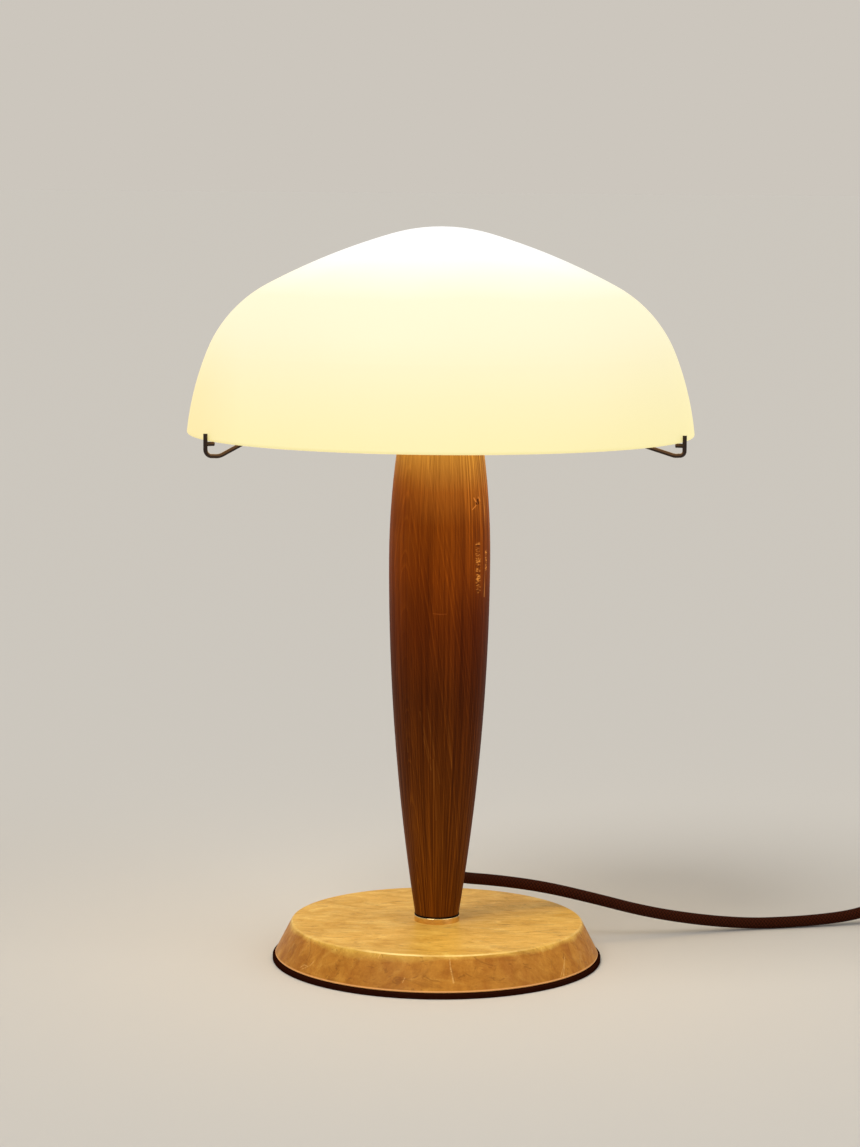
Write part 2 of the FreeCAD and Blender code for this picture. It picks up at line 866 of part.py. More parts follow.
def make_stem_top():
    bore = "tube_radius + close_fit"
    plate = turned("stem_plate", ring(bore, "plate_radius", "plate_thickness"))
    stand_at(plate, z="plate_bottom")

    tube = turned("threaded_tube", ring("tube_bore", "tube_radius", "tube_top - tube_bottom"))
    stand_at(tube, z="tube_bottom")

    hub = turned("carrier_hub", ring(bore, "hub_radius", "hub_height"))

    def corner(point):
        at_end = near(point.z, 0) or near(point.z, number("hub_height"))
        return at_end and near(math.hypot(point.x, point.y), number("hub_radius"))

    rounded(hub, "hub_bevels", corner, "hub_edge")
    for side in ("left", "right", "rear"):
        sketch = new_sketch(hub, f"{side}_socket_sketch", "XZ_Plane", lift="arm_height")
        azimuth = number(f"{side}_azimuth")
        sketch.AttachmentOffset = Placement(
            sketch.AttachmentOffset.Base, Rotation(Vector(0, 1, 0), azimuth))
        sketch.setExpression("AttachmentOffset.Rotation.Angle", formula(f"{side}_azimuth"))
        reach = "wire_radius + snug_fit"
        outline(sketch, [
            ("hub_radius - arm_socket", "0"),
            ("hub_radius + wire_radius", "0"),
            ("hub_radius + wire_radius", reach),
            ("hub_radius - arm_socket", reach),
        ])
        groove = hub.newObject("PartDesign::Groove", f"{side}_socket")
        groove.Profile = (sketch, [""])
        groove.ReferenceAxis = (sketch, ["H_Axis"])
        groove.Angle = 360
        measured(hub, groove, False)
    stand_at(hub, z="hub_bottom")

    nut = new_body("hub_nut")
    padded(nut, "nut_block", hexagon("nut_flats"), "nut_height")
    drilled(nut, "nut_thread", [("0", "0")], bore, "2 * nut_height")
    stand_at(nut, z="nut_bottom")


def make_carrier_arm(side):
    """Round wire: out from the hub, down under the rim and up outside the glass.
    A short peg of the same wire points in under the rim and carries the glass."""
    radius = number("wire_radius")
    level = number("arm_level")
    hook = number("hook_radius")
    dip = number(f"{side}_dip")
    inset = number(f"{side}_dip_inset")
    tip = number("rim_level") + number("hook_rise")
    points = [
        (number("hub_radius - arm_socket"), 0, level),
        (hook - number(f"{side}_knee"), 0, level),
        (hook - inset, 0, level - dip),
        (hook, 0, level - dip + number("dip_rise")),
        (hook, 0, tip),
    ]
    bends = [number("arm_bend"), number("dip_bend"), BEND_SHARE * inset]
    wire, _ = route_wire(points, bends)
    arm = tube_along(wire, radius)
    peg_end = Vector(hook - number("peg_length"), 0, level - number("peg_drop"))
    peg = Part.makeCylinder(radius, number("peg_length"), peg_end, Vector(1, 0, 0))
    arm = arm.fuse(peg).removeSplitter()
    turn = Rotation(Vector(0, 0, 1), number(f"{side}_azimuth"))
    solid_piece(f"carrier_arm_{side}", arm, Placement(Vector(0, 0, 0), turn))


# Shade

def make_glass_shade():
    wall = "shade_wall"

    def inner(out, up, slope):
        return f"{out} - {wall} * sin({slope})", f"{up} - {wall} * cos({slope})"

    body = turned("glass_shade", [
        ("shade_radius", "0", "skirt_curve"),
        ("shoulder_out", "shoulder_up", "shoulder_curve"),
        ("roof_out", "roof_up", "roof_curve"),
        ("crown_out", "crown_up", "crown_curve"),
        ("0", "shade_height"),
        ("0", f"shade_height - {wall}", f"{wall} - crown_curve"),
        (*inner("crown_out", "crown_up", "crown_slope"), f"{wall} - roof_curve"),
        (*inner("roof_out", "roof_up", "roof_slope"), f"{wall} - shoulder_curve"),
        (*inner("shoulder_out", "shoulder_up", "shoulder_slope"), f"{wall} - skirt_curve"),
        ("rim_bore", "0"),
    ])
    rounded(body, "rim_edges", lambda point: near(point.z, 0), "rim_round")
    stand_at(body, z="rim_level")


# Lampholder

def make_lampholder():
    seat = "holder_radius - holder_wall"
    cap = turned("holder_cap", [
        ("tube_radius + close_fit", "0"),
        ("holder_radius", "0"),
        ("holder_radius", "cap_height"),
        (seat, "cap_height"),
        (seat, "ledge_height"),
        (f"{seat} - ledge_width", "ledge_height"),
        (f"{seat} - ledge_width", "holder_floor"),
        ("tube_radius + close_fit", "holder_floor"),
    ])
    rounded(cap, "cap_edge", on_circle("holder_radius", "0"), "cap_round")
    stand_at(cap, z="holder_bottom")

    thickness = "cap_height - ledge_height"
    insert = turned("holder_insert", ring("0", "insert_disc_radius", thickness))
    sides = [("0", "terminal_offset"), ("0", "-terminal_offset")]
    drilled(insert, "lead_ways", sides, "lead_radius + lead_fit", "lead_grip + lead_gap")
    sketch = new_sketch(insert, "screw_ways_sketch", "XZ_Plane")
    circle(sketch, "0", f"({thickness}) / 2", "terminal_screw_radius + close_fit")
    pocket_sketch(insert, "screw_ways", sketch, "2 * holder_radius", midplane=True)
    turn_to_exit(insert)
    insert.setExpression("Placement.Base.z", formula("insert_bottom"))

    screws = new_body("terminal_screws")
    outer_end = "insert_disc_radius - screw_fit"
    inner_end = "terminal_offset + lead_radius + lead_fit"
    for name, sign in (("near_screw", ""), ("far_screw", "-")):
        offset = f"{sign}({outer_end} + {inner_end}) / 2"
        screw = new_sketch(screws, name + "_sketch", "XZ_Plane", slide=offset)
        circle(screw, "0", f"({thickness}) / 2", "terminal_screw_radius")
        pad_sketch(screws, name, screw, f"{outer_end} - ({inner_end})", midplane=True)
    turn_to_exit(screws)
    screws.setExpression("Placement.Base.z", formula("insert_bottom"))

    inner = "shell_radius + screw_fit"
    skirt = turned("holder_skirt", [
        (f"{inner} + skirt_hollow", "0"),
        ("holder_radius", "0"),
        ("holder_radius", "skirt_height - skirt_bevel"),
        ("holder_radius - skirt_bevel", "skirt_height"),
        (inner, "skirt_height"),
        (inner, "skirt_height - skirt_lip"),
        (f"{inner} + skirt_hollow", "skirt_height - skirt_lip"),
    ])
    stand_at(skirt, z="insert_top")

    shell = turned("screw_shell", [
        ("shell_eye", "0"),
        ("shell_radius", "0"),
        ("shell_radius", "shell_height"),
        ("shell_bore", "shell_height"),
        ("shell_bore", "shell_wall"),
        ("shell_eye", "shell_wall"),
    ])
    stand_at(shell, z="insert_top")

    contact = new_body("centre_contact")
    rise = "contact_height - strip_thickness"
    padded(contact, "contact_strip", [
        ("contact_inset - shell_eye", "0"),
        ("0", "0"),
        ("contact_bend", rise),
        ("2 * contact_bend", rise),
        ("2 * contact_bend", "contact_height"),
        ("contact_bend - contact_lean", "contact_height"),
        ("-contact_lean", "strip_thickness"),
        ("contact_inset - shell_eye", "strip_thickness"),
    ], "contact_width", plane="XZ_Plane", midplane=True)
    stand_at(contact, z="insert_top")


# Bulb

def make_bulb():
    tip = turned("bulb_tip", ring("0", "bulb_tip_radius", "bulb_tip_height"))
    rounded(tip, "tip_edge", on_circle("bulb_tip_radius", "0"), "bulb_tip_height / 2")

    insulator = turned("bulb_insulator", [
        ("0", "bulb_tip_height"),
        ("bulb_tip_radius + tip_margin", "bulb_tip_height"),
        ("spigot_radius", "bulb_cap_bottom"),
        ("spigot_radius", "bulb_cap_bottom + insulator_rim"),
        ("0", "bulb_cap_bottom + insulator_rim"),
    ])

    cap = turned("bulb_cap", [
        ("bulb_cap_bore", "bulb_cap_bottom"),
        ("bulb_cap_radius", "bulb_cap_bottom"),
        ("bulb_cap_radius", "bulb_cap_top"),
        ("bulb_cap_bore", "bulb_cap_top"),
    ])

    wall = "housing_wall"
    step = "bulb_seam - board_thickness"
    housing = turned("bulb_housing", [
        (f"spigot_radius - {wall}", "bulb_cap_top - spigot_depth"),
        ("spigot_radius", "bulb_cap_top - spigot_depth"),
        ("spigot_radius", "bulb_cap_top"),
        ("bulb_neck_radius", "bulb_cap_top", "-bulb_flare_curve"),
        ("seam_radius", "bulb_seam - housing_band"),
        ("seam_radius", "bulb_seam"),
        ("board_radius + close_fit", "bulb_seam"),
        ("board_radius + close_fit", step),
        ("board_radius - board_ledge", step),
        ("board_radius - board_ledge", "bulb_seam - housing_band", f"bulb_flare_curve + {wall}"),
        (f"spigot_radius - {wall}", f"bulb_cap_top + {wall}"),
    ])

    board = turned("led_board", ring("0", "board_radius", "board_thickness"))

    diffuser = turned("bulb_diffuser", [
        ("seam_radius", "bulb_seam", "bulb_globe_radius"),
        ("0", "bulb_length"),
        ("0", "bulb_length - diffuser_wall", "diffuser_wall - bulb_globe_radius"),
        ("seam_bore", "bulb_seam"),
    ])
    for body in (tip, insulator, cap, housing, diffuser):
        stand_at(body, z="bulb_bottom")
    stand_at(board, z=f"bulb_bottom + {step}")


# Rocker switch on the cord

def place_in_switch(obj, lift="0"):
    stand_at(obj, "switch_x", "switch_y", lift)


CLAMP_CORNERS = [
    ("clamp_x", "clamp_y"),
    ("-clamp_x", "clamp_y"),
    ("-clamp_x", "-clamp_y"),
    ("clamp_x", "-clamp_y"),
]
CASE_SCREWS = [("case_screw_x", "-case_screw_y"), ("-case_screw_x", "case_screw_y")]


def bosses(body, name, spots, height, slide, down=False):
    sketch = new_sketch(body, name + "_sketch", "XY_Plane", slide=slide)
    for across, up in spots:
        circle(sketch, across, up, "boss_radius")
    pad_sketch(body, name, sketch, height, down=down)


def shell_half(name, open_up):
    """Half of the switch case, open towards the split between the halves."""
    body = new_body(name)
    outer = rounded_rectangle("switch_length", "switch_width", "switch_round")
    padded(body, name + "_block", outer, "switch_half")
    closed = "0" if open_up else "switch_half"
    level = number(closed)
    rounded(body, name + "_edge", lambda point: near(point.z, level), "switch_edge")
    hollow = new_sketch(body, name + "_hollow_sketch", "XY_Plane",
                        slide="switch_wall" if open_up else "case_top")
    outline(hollow, rounded_rectangle("case_length", "case_width", "case_round"))
    pocket_sketch(body, name + "_hollow", hollow, "switch_half", up=open_up)
    return body


def cord_ways(body, name, split):
    sketch = new_sketch(body, name + "_sketch", "YZ_Plane")
    circle(sketch, "0", split, "cord_radius + cord_fit")
    pocket_sketch(body, name, sketch, "2 * switch_length", midplane=True)


def make_switch_case():
    base = shell_half("switch_base", True)
    bosses(base, "clamp_bosses", CLAMP_CORNERS, "clamp_bottom - clamp_gap - switch_wall", "switch_wall")
    bosses(base, "case_bosses", CASE_SCREWS, "switch_half - switch_wall", "switch_wall")
    drilled(base, "clamp_pilots", CLAMP_CORNERS, "screw_radius + close_fit",
            "clamp_screw_length - clamp_thickness + pilot_spare", slide="clamp_bottom", up=False)
    drilled(base, "case_ways", CASE_SCREWS, "screw_radius + close_fit", "switch_half")
    drilled(base, "head_recesses", CASE_SCREWS, "screw_head_radius + close_fit", "screw_seat")
    cord_ways(base, "base_cord_ways", "switch_half")
    place_in_switch(base)

    cover = shell_half("switch_cover", False)
    window = new_sketch(cover, "window_sketch", "XY_Plane", slide="switch_half")
    outline(window, rectangle("window_length", "window_width"))
    pocket_sketch(cover, "window", window, "2 * switch_wall")
    bosses(cover, "cover_bosses", CASE_SCREWS, "case_top", "case_top", down=True)
    drilled(cover, "cover_pilots", CASE_SCREWS, "screw_radius + close_fit",
            "screw_seat + case_screw_length + pilot_spare - switch_half")
    lugs = new_sketch(cover, "lugs_sketch", "XY_Plane", slide="case_top")
    lug_y = "(rocker_width / 2 + lug_gap + lug_thickness / 2)"
    outline(lugs, rectangle("lug_length", "lug_thickness", y=lug_y))
    outline_again(lugs, rectangle("lug_length", "lug_thickness", y=f"-{lug_y}"))
    pad_sketch(cover, "pivot_lugs", lugs, "case_top - pivot_height + lug_drop", down=True)
    drilled(cover, "pivot_ways", [("0", "pivot_height")], "pivot_radius + snug_fit",
            "pivot_length + lug_thickness", plane="XZ_Plane", midplane=True, up=False)
    cord_ways(cover, "cover_cord_ways", "0")
    place_in_switch(cover, "switch_half")


def outline_again(sketch, corners):
    """A second closed outline in a sketch that already holds one."""
    first = sketch.GeometryCount
    points = [Vector(number(across), number(up), 0) for across, up in corners]
    for index, start in enumerate(points):
        end = points[(index + 1) % len(points)]
        sketch.addGeometry(Part.LineSegment(start, end), False)
    for index, (across, up) in enumerate(corners):
        before = first + (index - 1) % len(corners)
        here = first + index
        sketch.addConstraint(Sketcher.Constraint("Coincident", before, 2, here, 1))
        pin_down(sketch, here, 1, across, up)


def make_switch_inside():
    pivot = "switch_half + pivot_height"
    tilt = Rotation(Vector(0, 1, 0), number("rocker_tilt"))
    end = "rocker_length / 2"
    rocker = new_body("switch_rocker")
    padded(rocker, "rocker_block", [
        (f"-{end} / 2", "-rocker_belly"),
        (f"{end} / 2", "-rocker_belly"),
        (end, "rocker_shoulder"),
        (end, "rocker_end"),
        ("0", "rocker_middle"),
        (f"-{end}", "rocker_end"),
        (f"-{end}", "rocker_shoulder"),
    ], "rocker_width", plane="XZ_Plane", midplane=True)
    drilled(rocker, "rocker_eye", [("0", "0")], "pivot_bore", "2 * rocker_width",
            plane="XZ_Plane", midplane=True, up=False)
    upper = number("rocker_end")
    rounded(rocker, "rocker_tips", lambda point: near(point.z, upper), "rocker_tip_round")

    bridge = new_body("contact_bridge")
    sketch = new_sketch(bridge, "bridge_sketch", "XY_Plane", slide="-rocker_belly")
    outline(sketch, rectangle("bridge_length", "bridge_width"))
    pad_sketch(bridge, "bridge_strip", sketch, "strip_thickness", down=True)
    for body in (rocker, bridge):
        body.Placement = Placement(Vector(0, 0, 0), tilt)
        body.setExpression("Placement.Rotation.Angle", formula("rocker_tilt"))
        place_in_switch(body, pivot)

    pin = new_body("rocker_pin")
    sketch = new_sketch(pin, "pin_sketch", "XZ_Plane")
    circle(sketch, "0", "0", "pivot_radius")
    pad_sketch(pin, "pin_rod", sketch, "pivot_length", midplane=True)
    place_in_switch(pin, pivot)

    posts = new_body("live_contacts")
    reach = "(bridge_length / 2)"
    lowered = f"post_top - {reach} * sin(rocker_tilt)"
    for name, x, top in (("middle_post", "0", "post_top"), ("side_post", "post_spacing", lowered)):
        padded(posts, name, rectangle("post_side", "post_side", x=x),
               f"{top} - post_gap - switch_wall", slide="switch_wall")
    place_in_switch(posts)

    for side, sign in (("lamp_side", "-"), ("plug_side", "")):
        clamp = new_body(f"cord_clamp_{side}")
        padded(clamp, f"{side}_bar", rectangle("clamp_length", "clamp_width"), "clamp_thickness")
        drilled(clamp, f"{side}_ways", [("0", "clamp_y"), ("0", "-clamp_y")],
                "screw_radius + close_fit", "2 * clamp_thickness")
        stand_at(clamp, f"switch_x + {sign}clamp_x", "switch_y", "clamp_bottom")

    screw_set("clamp_screws", CLAMP_CORNERS, "clamp_screw_length", "clamp_bottom + clamp_thickness", True)
    screw_set("case_screws", CASE_SCREWS, "case_screw_length", "screw_seat", False)


def screw_set(name, spots, length, seat, head_up):
    """Screws of one kind; the head stands above or below the seat."""
    body = new_body(name)
    shanks = new_sketch(body, name + "_shanks", "XY_Plane")
    heads = new_sketch(body, name + "_heads", "XY_Plane")
    for across, up in spots:
        circle(shanks, across, up, "screw_radius")
        circle(heads, across, up, "screw_head_radius")
    pad_sketch(body, name + "_shank_pads", shanks, length, down=head_up)
    pad_sketch(body, name + "_head_pads", heads, "screw_head_height", down=not head_up)
    place_in_switch(body, seat)


def make_switch_leads():
    """The neutral wire runs past the contacts; the live wire is broken by them."""
    side = number("lead_offset")
    inner = number("switch_length") / 2 - number("cord_grip")
    level = number("switch_half")
    place = Placement(Vector(number("switch_x"), number("switch_y"), 0), Rotation())
    radius = number("lead_radius")
    near_face = -number("post_side") / 2
    far_face = number("post_spacing + post_side / 2")
    straight = inner - number("link_lead")
    sloped = straight - number("link_slope")
    away = number("link_side")
    low = number("link_level")
    run = number("live_run")
    neutral = [
        (-inner, side, level),
        (-straight, side, level),
        (-sloped, away, low),
        (sloped, away, low),
        (straight, side, level),
        (inner, side, level),
    ]
    wire, _ = route_wire(neutral)
    solid_piece("neutral_link", tube_along(wire, radius), place)
    live_in = [
        (-inner, -side, level),
        (-straight, -side, level),
        (near_face - run, 0, low),
        (near_face, 0, low),
    ]
    live_out = [
        (inner, -side, level),
        (straight, -side, level),
        (far_face + run, 0, low),
        (far_face, 0, low),
    ]
    tubes = [tube_along(route_wire(points)[0], radius) for points in (live_in, live_out)]
    solid_piece("live_links", Part.makeCompound(tubes), place)


# Plug

def place_on_plug(obj):
    """The plug is drawn with its pins along +Z and laid on the table pointing to -Y."""
    obj.Placement = Placement(Vector(0, 0, 0), Rotation(Vector(1, 0, 0), 90))
    stand_at(obj, "plug_x", "plug_y", "plug_z")


def make_plug():
    body = new_body("plug_body")
    front = rounded_rectangle("plug_width", "plug_thickness", "plug_corner")
    padded(body, "plug_front_block", front, "plug_front", down=True)
    sections = []
    rear = rounded_rectangle("plug_rear_width", "plug_rear_thickness", "plug_rear_corner")
    for name, corners, depth in (("waist", front, "-plug_front"), ("rear", rear, "-plug_length")):
        sketch = new_sketch(body, f"plug_{name}_sketch", "XY_Plane", slide=depth)
        outline(sketch, corners)
        sections.append(sketch)
    loft = body.newObject("PartDesign::AdditiveLoft", "plug_taper_loft")
    loft.Profile = (sections[0], [""])
    loft.Sections = [(sections[1], [""])]
    measured(body, loft, True)
    rounded(body, "plug_face_edge", lambda point: near(point.z, 0), "plug_face_round")
    spots = [("pin_spacing / 2", "0"), ("-pin_spacing / 2", "0")]
    drilled(body, "pin_ways", spots, "pin_hole", "pin_root", up=False)
    place_on_plug(body)

    for name, corners in (
        ("plug_pins", [
            ("0", "-pin_root"),
            ("pin_neck", "-pin_root"),
            ("pin_neck", "sleeve_reach"),
            ("pin_radius", "sleeve_reach"),
            ("pin_radius", "pin_reach - pin_radius / 2"),
            ("pin_radius / 2", "pin_reach"),
            ("0", "pin_reach"),
        ]),
        ("pin_sleeves", [
            ("sleeve_bore", "-pin_root"),
            ("sleeve_radius", "-pin_root"),
            ("sleeve_radius", "sleeve_reach"),
            ("sleeve_bore", "sleeve_reach"),
        ]),
    ):
        pair = new_body(name)
        sketch = new_sketch(pair, name + "_section")
        sketch.setExpression("AttachmentOffset.Base.x", formula("-pin_spacing / 2"))
        outline(sketch, corners)
        feature = pair.newObject("PartDesign::Revolution", name + "_turning")
        feature.Profile = (sketch, [""])
        feature.ReferenceAxis = (sketch, ["V_Axis"])
        feature.Angle = 360
        measured(pair, feature, True)
        pattern = pair.newObject("PartDesign::LinearPattern", name + "_pair")
        pattern.Originals = [feature]
        pattern.Direction = (sketch, ["H_Axis"])
        pattern.Length = number("pin_spacing")
        pattern.setExpression("Length", formula("pin_spacing"))
        pattern.Occurrences = 2
        pair.Tip = pattern
        doc.recompute()
        place_on_plug(pair)

    bore = "cord_radius + cord_fit"
    floor = "relief_socket - relief_length"
    corners = [("0", floor), (bore, floor), (bore, "-relief_length"), ("relief_tip", "-relief_length")]
    count = int(number("relief_length / relief_pitch")) - 1
    for index in range(count):
        low = f"(relief_length - {index + 1} * relief_pitch + relief_rib)"
        high = f"(relief_length - {index + 1} * relief_pitch)"
        for depth, cut in ((low, "0"), (low, "relief_groove"), (high, "relief_groove"), (high, "0")):
            cone = f"relief_root - (relief_root - relief_tip) * {depth} / relief_length"
            corners.append((f"{cone} - {cut}", f"-{depth}"))
    corners += [("relief_root", "0"), ("0", "0")]
    relief = turned("plug_relief", corners)
    place_on_plug(relief)
    relief.setExpression("Placement.Base.y", formula("relief_root_y"))


# Cord

def arc_middle(start, heading, end):
    """The middle of the arc that leaves start along heading and reaches end."""
    length = (end - start).Length
    along = (end - start).normalize()
    side = heading - along * heading.dot(along)
    angle = math.acos(max(-1.0, min(1.0, heading.dot(along))))
    if side.Length < NO_SIDE:
        return (start + end) * 0.5
    return (start + end) * 0.5 + side.normalize() * (length / 2 * math.tan(angle / 2))


def biarc(start, heading, end, leaving):
    """Two arcs that touch, from one point and direction to another."""
    chord = end - start
    total = heading + leaving
    across = chord.dot(total)
    spread = 2 * (1 - heading.dot(leaving))
    reach = (-across + math.sqrt(across ** 2 + spread * chord.dot(chord))) / spread
    joint = (start + end + (heading - leaving) * reach) * 0.5
    first = Part.Arc(start, arc_middle(start, heading, joint), joint)
    second = Part.Arc(joint, arc_middle(end, leaving.negative(), joint), end)
    return first, second


def coil_point(turns):
    """A point of the coil, that many turns from its start.

    The cord winds clockwise inwards on the table, climbs a layer in the half turn where
    the spiral reverses, and winds outwards on top."""
    layer = COIL_TURNS_PER_LAYER
    pitch = number("coil_pitch")
    inside = number("coil_radius") - pitch * layer
    low = number("coil_floor")
    climb = COIL_CLIMB_TURNS
    if turns <= layer:
        radius = number("coil_radius") - pitch * turns
        height = low
    elif turns <= layer + climb:
        share = (turns - layer) / climb
        radius = inside - pitch * climb / 2 * math.sin(math.pi * share) * 2 / math.pi
        height = low + pitch * (1 - math.cos(math.pi * share)) / 2
    else:
        radius = inside + pitch * (turns - layer - climb)
        height = low + pitch
    angle = -2 * math.pi * turns
    middle = Vector(number("coil_x"), number("coil_y"), 0)
    return middle + Vector(radius * math.cos(angle), radius * math.sin(angle), height)


def coil_heading(turns):
    step = 1e-4
    return (coil_point(turns + step) - coil_point(turns - step)).normalize()


def make_coil():
    total = 2 * COIL_TURNS_PER_LAYER + COIL_CLIMB_TURNS
    quarters = round(total * 4)
    lead = Vector(0, 2 * number("cord_radius"), 0)
    down = Vector(0, -1, 0)
    stops = [coil_point(quarter / 4) for quarter in range(quarters + 1)]
    headings = [coil_heading(quarter / 4) for quarter in range(quarters + 1)]
    headings[0] = down
    headings[-1] = down
    edges = [Part.LineSegment(stops[0] + lead, stops[0]).toShape()]
    for quarter in range(quarters):
        pair = biarc(stops[quarter], headings[quarter], stops[quarter + 1], headings[quarter + 1])
        edges += [arc.toShape() for arc in pair]
    edges.append(Part.LineSegment(stops[-1], stops[-1] - lead).toShape())
    wire = Part.Wire(edges)
    solid_piece("cord_coil", tube_along(wire, number("cord_radius")))
    print(f"cord_coil: length {wire.Length:.1f}, least gap {least_gap(wire):.2f}")
    return wire.Length, stops[0] + lead, stops[-1] - lead


def least_gap(wire):
    """The least distance between the coil's surface and itself, on points along it."""
    spacing = 2.0
    points = wire.discretize(Distance=spacing)
    apart = int(4 * number("cord_radius") * 2 / spacing)
    least = min(
        (points[first] - points[second]).Length
        for first in range(len(points))
        for second in range(first + apart, len(points))
    )
    return least - 2 * number("cord_radius")


def make_cord():
    inside = number("switch_length") / 2 - number("cord_grip")
    level = number("switch_half")
    middle = Vector(number("switch_x"), number("switch_y"), level)
    to_switch = middle - Vector(inside, 0, 0)
    from_switch = middle + Vector(inside, 0, 0)
    coil_length, coil_start, coil_end = make_coil()
    start = exit_point(number("cord_start"))
    leaving = exit_point(number("exit_face + exit_lead"))
    before_switch = to_switch - Vector(number("switch_lead"), 0, 0)
    entry = Vector(number("plug_x"), number("cord_end_y"), number("plug_z"))
    relief = entry + Vector(0, number("relief_socket + relief_lead"), 0)
    lengths = [
        cord_stretch("cord_to_switch", [start, leaving, *LAMP_TO_SWITCH, before_switch, to_switch]),
        cord_stretch("cord_to_coil", [from_switch, *SWITCH_TO_COIL, coil_start]),
        coil_length,
        cord_stretch("cord_to_plug", [coil_end, *COIL_TO_PLUG, relief, entry]),
    ]
    print(f"whole cord: {sum(lengths):.0f}")


# Making and writing

def check_and_write():
    doc.recompute()
    for obj in doc.Objects:
        if "Invalid" in obj.State or "Error" in obj.State:
            raise RuntimeError(f"{obj.Label} is {obj.State}")
    os.makedirs("parts", exist_ok=True)
    for node in nodes:
        if node.Shape.isNull() or not node.Shape.isValid():
            raise RuntimeError(f"{node.Label} has no valid shape")
    for node in nodes:
        node.Shape.exportStep(f"parts/{node.Label}.step")
    print(f"{len(nodes)} sub-parts written")


fill_sheets()
make_foot_pad()
make_stone_base()
make_base_fixings()
make_collar()
make_wooden_stem()
make_cord_bushing()
make_inner_leads()
make_stem_top()
for arm_side in ("left", "right", "rear"):
    make_carrier_arm(arm_side)
make_glass_shade()
make_lampholder()
make_bulb()
make_switch_case()
make_switch_inside()
make_switch_leads()
make_plug()
make_cord()
check_and_write()
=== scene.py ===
"""The looks of a mushroom table lamp: its camera, cords, dressed pieces, finishes and studio."""
import math

import bpy
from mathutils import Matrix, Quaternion, Vector


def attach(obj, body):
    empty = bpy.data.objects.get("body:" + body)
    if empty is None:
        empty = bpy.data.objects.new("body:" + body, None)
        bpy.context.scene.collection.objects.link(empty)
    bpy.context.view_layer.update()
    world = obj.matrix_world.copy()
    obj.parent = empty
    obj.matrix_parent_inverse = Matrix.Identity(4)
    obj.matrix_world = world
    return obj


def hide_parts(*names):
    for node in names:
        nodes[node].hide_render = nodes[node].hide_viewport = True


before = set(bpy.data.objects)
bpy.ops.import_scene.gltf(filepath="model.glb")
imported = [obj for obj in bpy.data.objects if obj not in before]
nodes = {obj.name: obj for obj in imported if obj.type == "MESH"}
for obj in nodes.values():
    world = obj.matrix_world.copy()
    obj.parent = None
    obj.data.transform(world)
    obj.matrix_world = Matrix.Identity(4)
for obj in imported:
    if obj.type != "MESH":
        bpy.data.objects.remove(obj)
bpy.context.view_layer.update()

MM = 0.001

# The camera, fitted to the ellipses of the rim and the foot: metres and radians, and a lens in millimetres
CAMERA_PLACE = Vector((0, -1.8317, 0.4629))
CAMERA_YAW = 0.0031
CAMERA_PITCH = 0.1245
CAMERA_ROLL = 0.0075
CAMERA_LENS = 97.28
CAMERA_SENSOR = 36
CAMERA_NEAREST = 0.05
CAMERA_FARTHEST = 400

# The cord's route in metres: the points chosen for the model, one list for each free stretch
CORD_RADIUS = 3.5 * MM
CORD_EXIT = (0.00442, 0.00527, 0.04963)
LAMP_TO_SWITCH = [
    (0.01450, 0.01728, 0.04513),
    (0.0368, 0.0305, 0.0407),
    (0.0662, 0.0396, 0.0348),
    (0.0976, 0.0459, 0.0262),
    (0.1293, 0.0548, 0.0162),
    (0.1630, 0.0666, 0.0084),
    (0.1958, 0.0774, 0.0036),
    (0.2220, 0.0826, 0.0035),
    (0.2430, 0.0876, 0.0041),
    (0.2620, 0.0928, 0.0056),
    (0.2760, 0.0960, 0.0090),
    (0.2900, 0.0960, 0.0090),
]
SWITCH_EXIT = (0.3360, 0.0960, 0.0090)
SWITCH_TO_COIL = [
    (0.3530, 0.0960, 0.0090),
    (0.3688, 0.0896, 0.0076),
    (0.3809, 0.0775, 0.0052),
    (0.3876, 0.0616, 0.0039),
    (0.3880, 0.0330, 0.0035),
]
COIL_TO_PLUG = [
    (0.3880, -0.0230, 0.0110),
    (0.3888, -0.0370, 0.0086),
    (0.3880, -0.0480, 0.00685),
    (0.3880, -0.0570, 0.00685),
]
COIL_MIDDLE = Vector((0.338, -0.002, 0))
COIL_RADIUS = 50 * MM
COIL_PITCH = 7.5 * MM
TURNS_PER_LAYER = 2.25
CLIMB_TURNS = 0.5
POINTS_PER_TURN = 16


def linear(red, green, blue):
    """A colour written as 0 to 255 steps of sRGB, as the shader's sockets take it."""
    steps = [step / 255 for step in (red, green, blue)]
    return tuple(s / 12.92 if s <= 0.04045 else ((s + 0.055) / 1.055) ** 2.4 for s in steps) + (1,)


def darker(colour, share):
    """The colour times that share."""
    return tuple(part * share for part in colour[:3]) + (1,)


